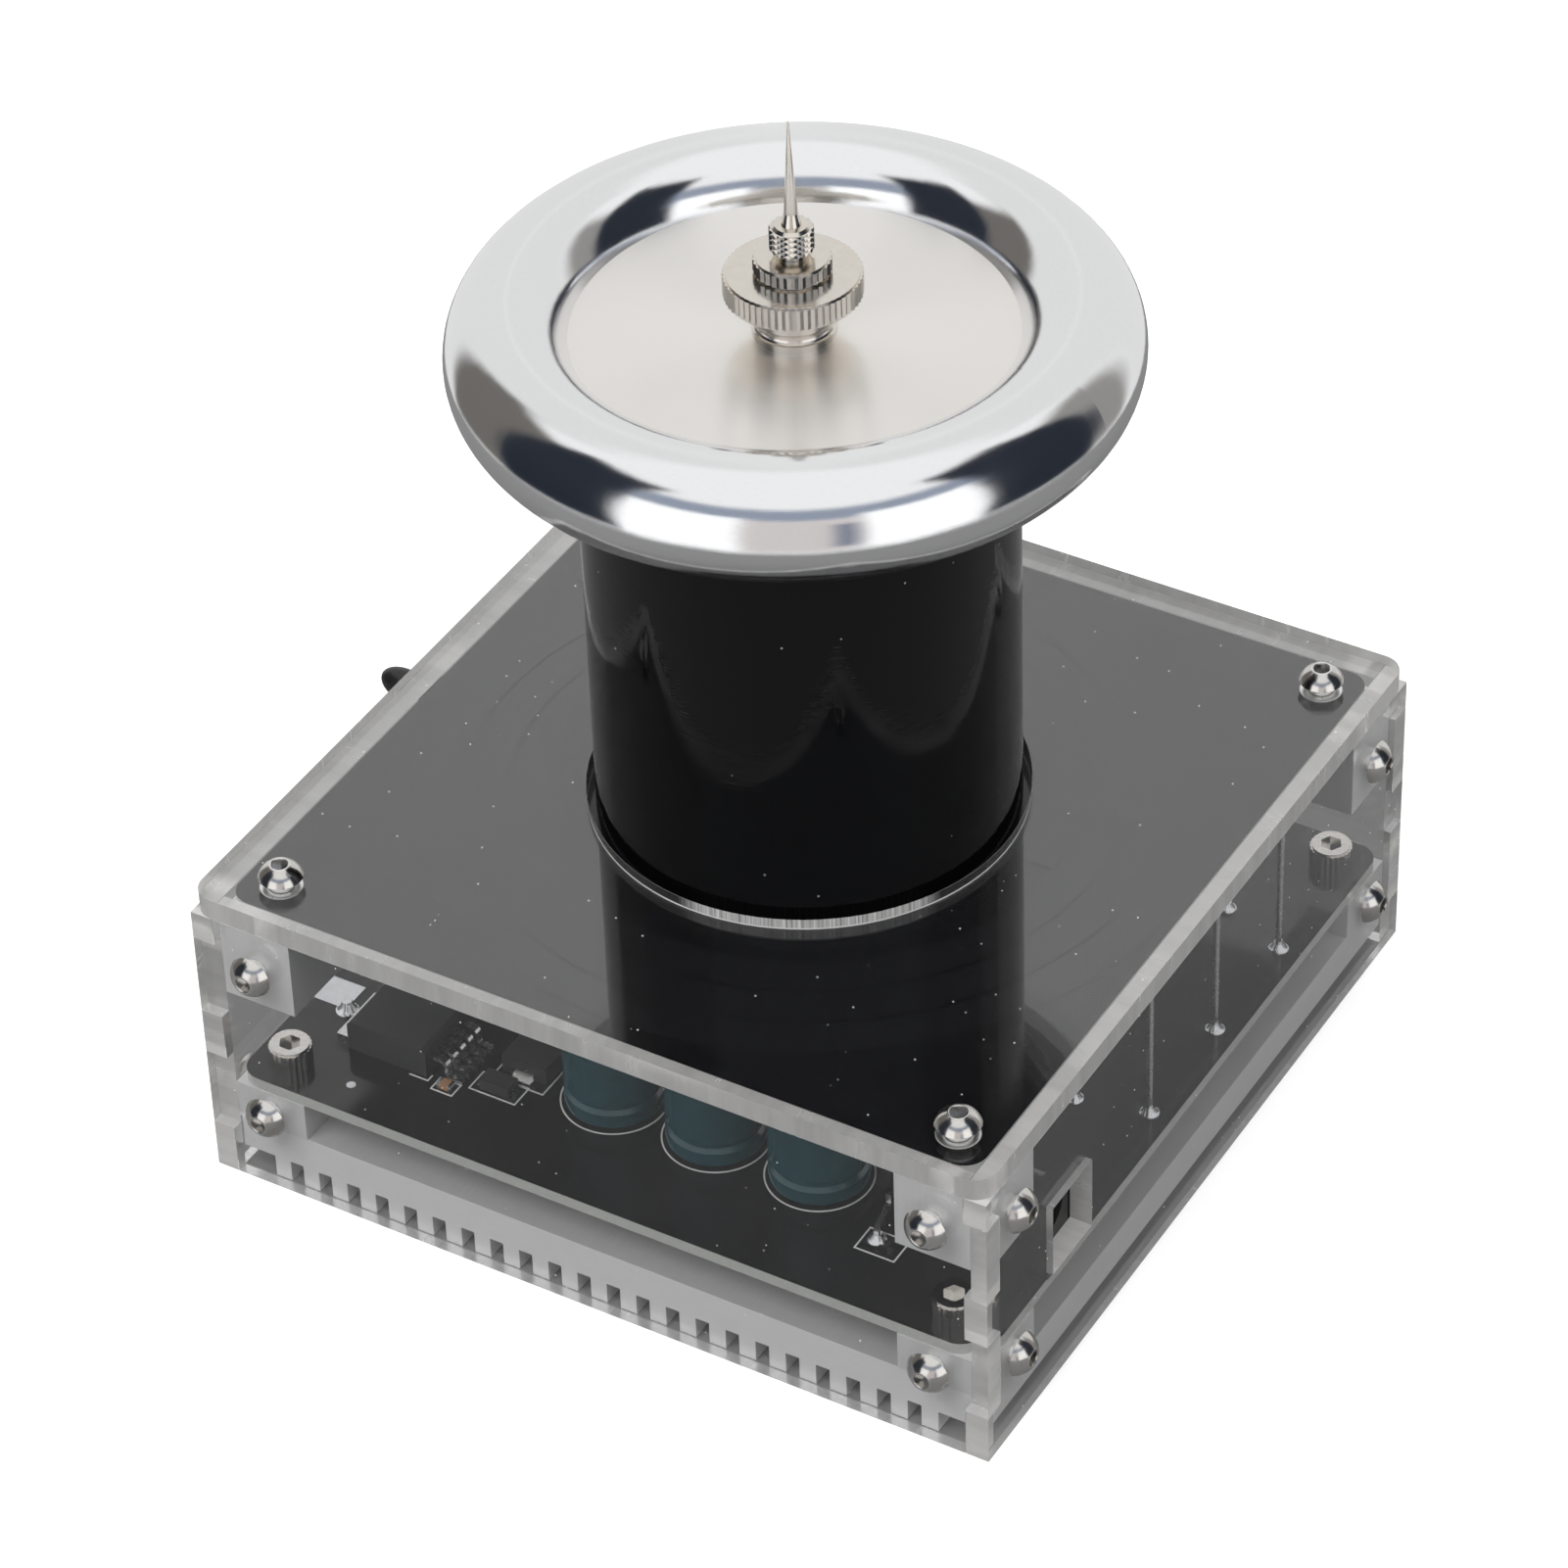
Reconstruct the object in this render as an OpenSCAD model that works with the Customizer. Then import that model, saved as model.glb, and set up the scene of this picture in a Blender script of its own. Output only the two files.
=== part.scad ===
/* [Case] */
// Width of the case, left to right
case_w = 110; // [104:1:140]
// Depth of the case, front to back
case_d = 110; // [104:1:140]
// Height of the case, from the table to the top of the plate
case_h = 44.2; // [42:0.1:60]
// Thickness of the clear sheet
sheet_t = 3; // [2:0.1:4]
// Corner radius of the top plate
plate_r = 3; // [2:0.5:4]
// Height of the lowest side finger above the table
side_finger_low = 7.1; // [5:0.1:9]
// Gap between the two side fingers of one edge
side_finger_mid = 6.8; // [4:0.1:9]
// Gap between the upper side finger and the top plate
side_finger_high = 4.1; // [3:0.1:6]
// Gap round the coil in the top plate
coil_gap = 1.1; // [0.5:0.1:2]

/* [Heat sink] */
// Overall height of the heat sink
sink_h = 8.2; // [7:0.1:12]
// Thickness of its base plate
sink_base_t = 5; // [3:0.1:6]
// Thickness of one fin
fin_t = 2.3; // [1.5:0.1:2.6]
// Number of fins
fin_count = 23; // [15:1:25]
// Width of the plain flange outside the last fin
sink_flange = 4.5; // [3:0.1:6]

/* [Corner blocks] */
// Width and depth of a corner block
block_w = 10; // [9:0.1:11]
// Height of a lower corner block
lower_block_h = 5.6; // [5:0.1:8]
// Height of an upper corner block
upper_block_h = 11; // [10:0.1:13]

/* [Boards] */
// Thickness of the circuit boards
board_t = 1.6; // [1:0.1:2]
// Corner radius of the circuit boards
board_r = 3; // [2:0.1:4]
// Gap between a board's edge and the walls
board_gap = 0.2; // [0.1:0.1:1]
// Gap between the coil and the first turn of the printed spiral
track_clear = 2.6; // [1:0.1:4]
// Board left outside the last turn of the spiral
track_margin = 1.1; // [1:0.1:8]
// Share of the spiral's pitch that stays clear between the turns
track_gap_share = 0.11; // [0.05:0.01:0.3]
// Number of turns of the spiral
track_turns = 3; // [1:1:4]
// Thickness of the spiral's copper
track_t = 0.07; // [0.03:0.01:0.09]

/* [Screws] */
// Diameter of the machine screws
screw_d = 3; // [2.5:0.5:3]
// Diameter of a button head
button_d = 5.7; // [5:0.1:6]
// Height of a button head
button_h = 1.65; // [1.4:0.05:1.8]
// Diameter of a cap screw's head
cap_head_d = 5.5; // [5:0.1:6]
// Height of a cap screw's head
cap_head_h = 3; // [2.5:0.1:3.4]
// Length of the short screws
short_screw_l = 6; // [5:0.5:6]
// Length of the plate screws
plate_screw_l = 8; // [7:0.5:8]
// Length of the board screws
board_screw_l = 10; // [9:0.5:11]

/* [Coil] */
// Outer diameter of the finished coil
coil_d = 52.8; // [50:0.1:54]
// Height of the coil above the primary board
coil_h = 67.8; // [50:0.1:90]
// Wall thickness of the coil former
former_t = 2; // [1.5:0.1:4]
// Thickness of the coil's sleeve on the plain ends of the former
coil_sleeve_t = 1.4; // [1.2:0.1:2]
// Thickness of the wire layer
wire_t = 0.7; // [0.3:0.05:0.9]
// Plain former left above and below the wire
wire_end = 4; // [3:0.5:8]

/* [Top load] */
// Depth that the toroid is cut back to seat the disc
toroid_cut = 0.3; // [0.1:0.05:0.5]
// Diameter of the toroid's tube
toroid_tube_d = 15; // [14.4:0.1:17]
// Wall thickness of the spun toroid
toroid_wall = 1.2; // [1:0.1:1.4]
// How far the disc reaches past the coil
disc_lip = 0.1; // [0.05:0.05:0.6]
// Thickness of the disc
disc_t = 2.2; // [1.6:0.1:2.6]

/* [Terminal] */
// Diameter of the collar
collar_d = 10.1; // [9:0.1:12]
// Height of the collar
collar_h = 5.2; // [4:0.1:7]
// Diameter of the thumb nut
thumb_d = 16.5; // [14:0.5:20]
// Thickness of the thumb nut
thumb_h = 3.2; // [2.5:0.1:4]
// Number of grooves round the thumb nut
thumb_grooves = 60; // [40:4:80]
// Diameter of the lock nut
lock_d = 9.3; // [8:0.1:11]
// Thickness of the lock nut
lock_h = 2; // [1.6:0.1:3]
// Number of grooves round the lock nut
lock_grooves = 32; // [24:4:48]
// Diameter of the needle's gripping end
grip_d = 5.3; // [5:0.1:6.5]
// Height of the needle's gripping end
grip_h = 3.6; // [3.4:0.1:5]
// Length of the needle above its grip
needle_l = 14; // [8:0.5:20]

/* [Power switch] */
// Depth of the switch behind the wall
switch_depth = 9.5; // [8:0.5:11]
// Height of the switch body
switch_h = 13; // [12:0.5:14]
// Width of the switch body
switch_w = 8; // [6.5:0.5:9]
// Height of the lever's pivot above the driver board
switch_z_up = 9.6; // [8:0.1:11]
// Distance of the switch behind the middle of the wall
switch_back = 9.3; // [0:0.1:12]
// Diameter of the threaded bushing
bushing_d = 6; // [5.8:0.1:6.4]
// Length of the bushing from the wall's inner face
bushing_l = 8; // [7.6:0.1:9]
// Angle of the lever to either side of straight out
lever_throw = 12.5; // [8:0.5:13]
// Length of the lever from its pivot to the tip of its cap
lever_l = 13.9; // [11:0.1:16]
// Diameter of the lever's cap
lever_cap_d = 4.3; // [3.6:0.1:4.8]

/* [Power jack] */
// Width of the jack
jack_w = 9; // [8.6:0.1:9.4]
// Height of the jack above the driver board
jack_h = 11; // [10.6:0.1:11.6]
// Depth of the jack
jack_l = 14; // [12:0.5:15]
// Distance of the jack's middle from the case front
jack_from_front = 21; // [18:0.5:24]
// Diameter of the socket
socket_d = 6.3; // [5.8:0.1:6.6]
// Depth of the socket
socket_depth = 9.5; // [8:0.1:10]
// Diameter of the centre pin
pin_d = 2.1; // [1.9:0.1:2.5]
// Height of the jack's axis above the driver board
jack_axis_up = 6.5; // [6.2:0.1:6.6]
// Width of the wall's cut-out at the jack
cutout_w = 9.8; // [9.2:0.1:10.4]
// Height of the cut-out
cutout_h = 10.6; // [9.6:0.1:11]
// Height of the cut-out's middle above the jack's axis
cutout_up = 0.4; // [0:0.1:0.6]

/* [Hidden] */
$fn = 96;

// Gaps between pieces
kerf_gap = 0.1;
bolt_gap = 0.1;
wire_gap = 0.1;
thread_gap = 0.05;
seat_gap = 0.05;
plate_gap = 0.1;
swing_gap = 0.3;
overrun = 1;

// Case, blocks and boards
in_w = case_w - 2 * sheet_t;
in_d = case_d - 2 * sheet_t;
post_x = in_w / 2 - block_w / 2 - seat_gap;
post_y = in_d / 2 - block_w / 2 - seat_gap;
plate_z = case_h - sheet_t;
wall_top_z = plate_z - seat_gap;
side_finger_h = (plate_z - side_finger_low - side_finger_mid - side_finger_high) / 2;
side_finger_pitch = side_finger_h + side_finger_mid;
coil_hole_d = coil_d + 2 * coil_gap;
primary_top_z = plate_z - plate_gap;
primary_z = primary_top_z - board_t;
driver_z = sink_h + lower_block_h;
driver_top_z = driver_z + board_t;
lower_screw_z = sink_h + lower_block_h / 2;
upper_screw_z = primary_z - upper_block_h / 2;
screw_zs = [lower_screw_z, upper_screw_z];
board_w = in_w - 2 * board_gap;
board_d = in_d - 2 * board_gap;
block_thread_l = 3.2;

// Heat sink
sink_gap = 0.2;
sink_w = in_w - 2 * sink_gap;
sink_d = in_d - 2 * sink_gap;
fin_pitch = (sink_w - 2 * sink_flange - fin_t) / (fin_count - 1);

// Screws
button_flat_d = 2.8;
button_key = 2;
button_key_depth = 1.04;
cap_key = 2.5;
cap_key_depth = 1.3;
cap_head_grooves = 24;
cap_groove_depth = 0.15;
cap_head_edge = 0.3;
dome_half_chords = [button_d / 2, button_flat_d / 2];
dome_drop = (pow(dome_half_chords[0], 2) - pow(dome_half_chords[1], 2) - pow(button_h, 2)) / (2 * button_h);
dome_r = sqrt(button_d * button_d / 4 + dome_drop * dome_drop);

// Printed spiral
track_step = 10;
track_r = coil_d / 2 + track_clear;
track_outer_r = min(board_w, board_d) / 2 - track_margin;
track_pitch = (track_outer_r - track_r) / (track_turns + 1 - track_gap_share);
track_w = track_pitch * (1 - track_gap_share);

// Filter capacitors
can_count = 3;
sleeve_t = 0.25;
can_gap_share = 0.048;
can_to_rect = 2.35;
can_to_jack = 10.7;
can_headroom = 3.6;
can_from_front = 21.3;
crimp_z = 3;
crimp_depth = 0.4;
can_edge = 0.6;
can_lip = 1;

// Driver chip with its tab and its five leads
chip_from_left = 13;
chip_from_front = 13.4;
chip_l = 11.5;
chip_w = 9.6;
chip_h = 4.4;
chip_bevel = 0.5;
tab_l = 2;
tab_t = 1.3;
chip_lead_count = 5;
chip_lead_pitch = 1.7;
chip_lead_w = 1;
chip_lead_t = 0.5;
chip_lead_run = 4.6;
chip_lead_foot = 1.4;
chip_lead_z = 2.6;
lead_bend_r = 0.8;

// Rectifier, small diode and chip capacitor
rect_from_left = 35.2;
rect_from_front = 22.6;
rect_w = 6.4;
rect_l = 7;
rect_h = 2.5;
rect_lead_w = 3;
rect_lead_t = 0.3;
rect_lead_out = 1.2;
diode_from_left = 33.5;
diode_from_front = 15.9;
diode_l = 4.2;
diode_w = 2.4;
diode_h = 1.6;
diode_lead_w = 1.4;
diode_lead_out = 0.7;
chipcap_from_left = 27.6;
chipcap_from_front = 13;
chipcap_l = 2;
chipcap_w = 1.25;
chipcap_h = 0.8;
chipcap_end = 0.4;

// Printed outlines
ink_w = 0.2;
ink_t = 0.05;
ink_gap = 0.4;
ink_corner = [3, 1.4];
bent_box = [5.2, 3.7];
bent_box_at = [1, -0.55];

// Link wires, solder and the bent lead
wire_d = 0.8;
wire_tail = 0.5;
link_count = 3;
link_from_right = 6.2;
link_pitch = 17.5;
link_back = 11;
dome_d = 2.6;
dome_h = 1.1;
dome_neck = 0.25;
pin_from_right = 15.5;
pin_dome_ys = [-8.6, 32.4];
blob_d = 3;
blob_h = 1.5;
blob_gap = 0.6;
blob_from_front = 19.4;
tin_t = 0.1;
tin_l = 4.8;
tin_w = 4.6;
tin_from_left = 3.9;
tin_from_front = 19.3;
via_d = 1.2;
via_from_left = 17.1;
via_from_front = 7.7;
bent_from_right = 22.2;
bent_from_front = 14.5;
bent_h = 5;
bent_lean = 3.1;
bent_w = 0.7;
bent_t = 0.5;

// Jack
jack_x = in_w / 2 - seat_gap;
jack_y = jack_from_front - case_d / 2;
jack_z = driver_top_z + jack_axis_up;
jack_front_t = 3.4;
jack_barrel_d = 8.4;
jack_cradle_h = 5;
pin_back = 0.8;
pin_tip = 0.4;
pin_root_d = 3;
pin_root_l = 1;
jack_leg_w = 2.4;
jack_leg_t = 0.8;
jack_leg_h = 1.1;
jack_leg_steps = [2, 7.4];

// Switch
switch_z = driver_top_z + switch_z_up;
switch_y = switch_back;
switch_face_x = seat_gap - in_w / 2;
switch_seat = sheet_t + 2 * seat_gap;
pivot_in = 3.5;
pivot_x = switch_face_x - bushing_l + pivot_in;
bushing_bore_d = 4.4;
bushing_mouth_d = 5.2;
bushing_mouth_l = 2;
washer_d = 9.4;
washer_t = 0.6;
nut_af = 8;
nut_t = 2;
lever_d = 2.2;
lever_ball_d = bushing_bore_d - 2 * swing_gap;
lever_seat = 2.2;
lever_cap_from = 5;
lever_cap_dome = 3.8;
terminal_w = 1.2;
terminal_t = 0.6;
terminal_pitch = 4.7;
terminal_out = 2;
terminal_step = 2.5;
terminal_bend_r = 0.6;

// Power transistors
transistor_ys = [-18, 18];
transistor_from_right = 31;
transistor_lead_x = case_w / 2 - transistor_from_right;
transistor_lead_run = 3;
transistor_w = 10;
transistor_l = 9.2;
transistor_h = 4.4;
transistor_tab_l = 6.4;
transistor_tab_t = 1.3;
transistor_lead_z = 2.2;
transistor_lead_t = 0.5;
transistor_lead_w = 0.8;
transistor_lead_pitch = 2.54;
transistor_hole_d = 3.4;
pad_t = 0.3;
pad_margin = 0.5;

// Coil and top load
coil_z = primary_top_z;
coil_top_z = coil_z + coil_h;
former_d = coil_d - 2 * coil_sleeve_t;
former_bore_d = former_d - 2 * former_t;
foot_h = 8;
foot_screw_in = 8;
foot_screw_r = former_bore_d / 2 - foot_screw_in;
foot_screw_count = 3;
foot_wire_d = 5;
plug_h = 7;
stud_nut_af = 5.5;
stud_nut_h = 2.4;
stud_tail = 0.5;
disc_z = coil_top_z;
disc_top_z = disc_z + disc_t;
disc_d = coil_d + 2 * disc_lip;
toroid_r = disc_d / 2 + toroid_tube_d / 2 - toroid_cut;
toroid_land = sqrt(pow(toroid_tube_d / 2, 2) - pow(toroid_r - disc_d / 2, 2));
toroid_z = disc_top_z - toroid_land;

// Terminal
collar_rim_h = 0.9;
collar_groove_h = 1.6;
collar_groove = 0.55;
collar_groove_r = (pow(collar_groove_h / 2, 2) + pow(collar_groove, 2)) / (2 * collar_groove);
collar_groove_angle = asin(collar_groove_h / 2 / collar_groove_r);
collar_z = disc_top_z;
thumb_z = collar_z + collar_h;
lock_z = thumb_z + thumb_h + thread_gap;
grip_gap = 0.7;
grip_z = lock_z + lock_h + grip_gap;
nut_edge = 0.25;
groove_depth = 0.22;
stud_in_grip = 2.2;
grip_edge = 0.35;
grip_depth = 0.25;
grip_columns = 32;
grip_rows = 8;
needle_foot_d = 2.4;
needle_waist_d = 1.65;
needle_tip_d = 0.2;
needle_foot_h = 1.6;

function rounded(cx, cy, r, from, to, n) =
    [for (i = [0:n]) let (a = from + (to - from) * i / n) [cx + r * cos(a), cy + r * sin(a)]];

function unit(v) = v / norm(v);

function side(path, i) =
    let (a = path[max(i - 1, 0)], b = path[min(i + 1, len(path) - 1)], d = unit(b - a)) [-d[1], d[0]];

// Outline of a strip of thickness t that follows a path
function ribbon(path, t) = concat(
    [for (i = [0:len(path) - 1]) path[i] + side(path, i) * t / 2],
    [for (i = [len(path) - 1:-1:0]) path[i] - side(path, i) * t / 2]);

function spread(count, pitch) = [for (i = [0:count - 1]) (i - (count - 1) / 2) * pitch];

module at_corners() {
    for (mx = [0, 1], my = [0, 1]) mirror([mx, 0, 0]) mirror([0, my, 0]) children();
}

module box(size, at) {
    translate(at) translate([-size[0] / 2, -size[1] / 2, 0]) cube(size);
}

module tube(outer_d, inner_d, h) {
    difference() {
        cylinder(d = outer_d, h = h);
        translate([0, 0, -overrun]) cylinder(d = inner_d, h = h + 2 * overrun);
    }
}

module hexagon(across_flats, h) {
    cylinder(d = across_flats / cos(30), h = h, $fn = 6);
}

// A round piece with straight grooves along its side
module grooved(d, depth, grooves, h) {
    linear_extrude(h) polygon([for (i = [0:2 * grooves - 1])
        let (a = 180 * i / grooves, r = d / 2 - (i % 2) * depth) [r * cos(a), r * sin(a)]]);
}

// Button head screw whose head stands on z = 0
module button_screw(l) {
    difference() {
        union() {
            intersection() {
                translate([0, 0, -dome_drop]) sphere(r = dome_r);
                cylinder(d = 2 * button_d, h = button_h);
            }
            translate([0, 0, -l]) cylinder(d = screw_d, h = l + button_h / 3);
        }
        translate([0, 0, button_h - button_key_depth]) hexagon(button_key, button_h);
    }
}

// Cap screw whose head stands on z = 0
module cap_screw(l) {
    difference() {
        union() {
            grooved(cap_head_d, cap_groove_depth, cap_head_grooves, cap_head_h - cap_head_edge);
            cylinder(d = cap_head_d - 2 * cap_head_edge, h = cap_head_h);
            translate([0, 0, -l]) cylinder(d = screw_d, h = l + cap_head_edge);
        }
        translate([0, 0, cap_head_h - cap_key_depth]) hexagon(cap_key, cap_head_h);
    }
}

// Solder cone round a wire that stands on z = 0
module solder(d, h, bore) {
    difference() {
        rotate_extrude() polygon(concat([[0, 0]],
            [for (i = [0:6]) let (s = i / 6)
                [d / 2 + (wire_d / 2 + dome_neck - d / 2) * s, h * (1 - cos(90 * s))]],
            [[0, h]]));
        if (bore > 0) translate([0, 0, -overrun]) cylinder(d = bore, h = h + 2 * overrun);
    }
}

// Clear case
module side_fingers(reach, extra) {
    for (i = [0, 1])
        translate([-reach, side_finger_low + i * side_finger_pitch - extra])
            square([2 * reach, side_finger_h + 2 * extra]);
}

module wall_holes(x) {
    for (s = [-1, 1], z = screw_zs) translate([s * x, z]) circle(d = screw_d + 2 * bolt_gap);
}

module cross_wall_outline() {
    difference() {
        union() {
            translate([kerf_gap - in_w / 2, 0]) square([in_w - 2 * kerf_gap, wall_top_z]);
            side_fingers(case_w / 2, 0);
        }
        wall_holes(post_x);
    }
}

module side_wall_outline() {
    difference() {
        translate([-case_d / 2, 0]) square([case_d, wall_top_z]);
        difference() {
            side_fingers(case_d / 2 + overrun, kerf_gap);
            translate([kerf_gap - in_d / 2, 0]) square([in_d - 2 * kerf_gap, case_h]);
        }
        wall_holes(post_y);
    }
}

module front_wall() {
    color([0.85, 0.9, 0.92, 0.35]) translate([0, sheet_t - case_d / 2, 0])
        rotate([90, 0, 0]) linear_extrude(sheet_t) cross_wall_outline();
}

module back_wall() {
    color([0.85, 0.9, 0.92, 0.35]) translate([0, case_d / 2, 0])
        rotate([90, 0, 0]) linear_extrude(sheet_t) cross_wall_outline();
}

module left_wall() {
    color([0.85, 0.9, 0.92, 0.35]) translate([-case_w / 2, 0, 0])
        rotate([90, 0, 90]) linear_extrude(sheet_t) difference() {
            side_wall_outline();
            translate([switch_y, switch_z]) circle(d = bushing_d + 2 * bolt_gap);
        }
}

module right_wall() {
    color([0.85, 0.9, 0.92, 0.35]) translate([case_w / 2 - sheet_t, 0, 0])
        rotate([90, 0, 90]) linear_extrude(sheet_t) difference() {
            side_wall_outline();
            translate([jack_y - cutout_w / 2, jack_z + cutout_up - cutout_h / 2])
                square([cutout_w, cutout_h]);
        }
}

module rounded_sheet(width, depth, r) {
    square([width - 2 * r, depth], center = true);
    square([width, depth - 2 * r], center = true);
    for (sx = [-1, 1], sy = [-1, 1])
        translate([sx * (width / 2 - r), sy * (depth / 2 - r)]) circle(r = r);
}

module top_plate() {
    color([0.85, 0.9, 0.92, 0.35]) translate([0, 0, plate_z]) linear_extrude(sheet_t) difference() {
        rounded_sheet(case_w, case_d, plate_r);
        post_holes();
        circle(d = coil_hole_d);
    }
}

// Heat sink, blocks and boards
module heat_sink() {
    color("silver") difference() {
        translate([0, sink_d / 2, 0]) rotate([90, 0, 0]) linear_extrude(sink_d) {
            translate([-sink_w / 2, sink_h - sink_base_t]) square([sink_w, sink_base_t]);
            for (x = spread(fin_count, fin_pitch)) translate([x - fin_t / 2, 0]) square([fin_t, sink_h]);
        }
        at_corners() translate([post_x, post_y, driver_top_z - board_screw_l])
            cylinder(d = screw_d, h = sink_h);
        for (y = transistor_ys) translate([transistor_screw_x, y, transistor_screw_z - short_screw_l])
            cylinder(d = screw_d, h = sink_h);
    }
}

module corner_block(z, h) {
    difference() {
        box([block_w, block_w, h], [post_x, post_y, z]);
        translate([post_x, post_y, z - overrun]) cylinder(d = screw_d, h = h + 2 * overrun);
        translate([case_w / 2 - sheet_t - block_thread_l, post_y, z + h / 2])
            rotate([0, 90, 0]) cylinder(d = screw_d, h = sheet_t + block_thread_l);
        translate([post_x, case_d / 2 - sheet_t - block_thread_l, z + h / 2])
            rotate([-90, 0, 0]) cylinder(d = screw_d, h = sheet_t + block_thread_l);
    }
}

module lower_corner_blocks() {
    color("silver") at_corners() corner_block(sink_h, lower_block_h);
}

module upper_corner_blocks() {
    color("silver") at_corners() corner_block(primary_z - upper_block_h, upper_block_h);
}

module board_outline() {
    rounded_sheet(board_w, board_d, board_r);
}

module post_holes() {
    for (sx = [-1, 1], sy = [-1, 1])
        translate([sx * post_x, sy * post_y]) circle(d = screw_d + 2 * bolt_gap);
}

module driver_board() {
    color([0.12, 0.12, 0.13]) translate([0, 0, driver_z]) linear_extrude(board_t) difference() {
        board_outline();
        post_holes();
        for (p = wire_places()) translate(p) circle(d = wire_d + 2 * wire_gap);
        for (p = transistor_lead_places()) translate(p) circle(d = lead_hole_d);
        for (x = terminal_xs()) translate([x, switch_y]) circle(d = terminal_hole_d);
        for (x = jack_leg_xs()) translate([x, jack_y]) square(jack_leg_hole, center = true);
    }
}

module primary_board() {
    color([0.2, 0.2, 0.21]) translate([0, 0, primary_z]) linear_extrude(board_t) difference() {
        board_outline();
        post_holes();
        for (a = foot_angles()) rotate(a) translate([foot_screw_r, 0]) circle(d = screw_d + 2 * bolt_gap);
        circle(d = foot_wire_d);
    }
}

function spiral(offset) = [for (a = [0:track_step:360 * track_turns])
    (track_r + offset + track_pitch * a / 360) * [cos(a), sin(a)]];

module primary_track() {
    inner = spiral(0);
    outer = spiral(track_w);
    color([0.26, 0.26, 0.27]) translate([0, 0, primary_top_z]) linear_extrude(track_t)
        polygon(concat(inner, [for (i = [len(outer) - 1:-1:0]) outer[i]]));
}

// Fasteners
module short_screws() {
    color("lightgray") {
        at_corners() for (z = screw_zs) {
            translate([case_w / 2 + seat_gap, post_y, z]) rotate([0, 90, 0]) button_screw(short_screw_l);
            translate([post_x, case_d / 2 + seat_gap, z]) rotate([-90, 0, 0]) button_screw(short_screw_l);
        }
        for (a = foot_angles()) rotate(a) translate([foot_screw_r, 0, primary_z])
            mirror([0, 0, 1]) button_screw(short_screw_l);
        for (y = transistor_ys) translate([transistor_screw_x, y, transistor_screw_z])
            button_screw(short_screw_l);
    }
}

module plate_screws() {
    color("lightgray") at_corners()
        translate([post_x, post_y, case_h + seat_gap]) button_screw(plate_screw_l);
}

module board_screws() {
    color("lightgray") at_corners()
        translate([post_x, post_y, driver_top_z]) cap_screw(board_screw_l);
}

// Capacitors
can_start_x = rect_from_left - case_w / 2 + rect_w / 2 + can_to_rect;
can_end_x = jack_x - jack_l - can_to_jack;
can_gap = can_gap_share * (can_end_x - can_start_x);
can_d = (can_end_x - can_start_x - (can_count - 1) * can_gap) / can_count - 2 * sleeve_t;
can_h = primary_z - driver_top_z - can_headroom - 2 * sleeve_t;
can_pitch = can_d + 2 * sleeve_t + can_gap;
can_y = can_from_front - case_d / 2;
can_places = [for (x = spread(can_count, can_pitch)) [(can_start_x + can_end_x) / 2 + x, can_y]];

module can_profile(grow) {
    r = can_d / 2 + grow;
    mid = r - crimp_depth;
    polygon(concat([[0, -grow], [r - can_edge, -grow], [r, can_edge - grow], [r, crimp_z - 2 * crimp_depth],
        [mid, crimp_z - crimp_depth / 2], [mid, crimp_z + crimp_depth / 2], [r, crimp_z + 2 * crimp_depth]],
        rounded(can_d / 2 - can_edge, can_h - can_edge, can_edge + grow, 0, 90, 4),
        [[0, can_h + grow]]));
}

module capacitor_cans() {
    color("silver") for (p = can_places) translate([p[0], p[1], driver_top_z + sleeve_t])
        rotate_extrude() can_profile(0);
}

module capacitor_sleeves() {
    color([0.15, 0.32, 0.33]) for (p = can_places) translate([p[0], p[1], driver_top_z + sleeve_t])
        difference() {
            rotate_extrude() can_profile(sleeve_t);
            rotate_extrude() can_profile(0);
            translate([0, 0, -can_h / 2]) cylinder(d = can_d - 2 * can_lip, h = 2 * can_h);
        }
}

// Driver chip
chip_x = chip_from_left - case_w / 2;
chip_y = chip_from_front - case_d / 2;
chip_mid_y = chip_y + chip_w / 2;

module driver_chip() {
    color([0.1, 0.1, 0.1]) translate([chip_x, chip_y, driver_top_z]) difference() {
        translate([0, chip_w, 0]) rotate([90, 0, 0]) linear_extrude(chip_w) polygon([
            [0, 0], [chip_l, 0], [chip_l, chip_h - chip_bevel], [chip_l - chip_bevel, chip_h],
            [chip_bevel, chip_h], [0, chip_h - chip_bevel]]);
        translate([-overrun, chip_bevel, -overrun])
            cube([tab_l + overrun, chip_w - 2 * chip_bevel, tab_t + overrun]);
    }
}

module driver_chip_tab() {
    color("silver") translate([chip_x - tab_l, chip_y + chip_bevel, driver_top_z])
        cube([2 * tab_l, chip_w - 2 * chip_bevel, tab_t]);
}

module driver_chip_leads() {
    r = lead_bend_r;
    drop = chip_lead_z - chip_lead_t / 2;
    bend_x = chip_lead_run - chip_lead_foot - 2 * r;
    path = concat([[0, chip_lead_z]],
        rounded(bend_x, chip_lead_z - r, r, 90, 0, 4),
        rounded(bend_x + 2 * r, chip_lead_z - drop + r, r, 180, 270, 4),
        [[chip_lead_run, chip_lead_z - drop]]);
    color("silver") for (dy = spread(chip_lead_count, chip_lead_pitch))
        translate([chip_x + chip_l, chip_mid_y + dy + chip_lead_w / 2, driver_top_z])
            rotate([90, 0, 0]) linear_extrude(chip_lead_w) polygon(ribbon(path, chip_lead_t));
}

// Small parts on the board
rect_x = rect_from_left - case_w / 2;
rect_y = rect_from_front - case_d / 2;
diode_x = diode_from_left - case_w / 2;
diode_y = diode_from_front - case_d / 2;
chipcap_x = chipcap_from_left - case_w / 2;
chipcap_y = chipcap_from_front - case_d / 2;

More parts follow.
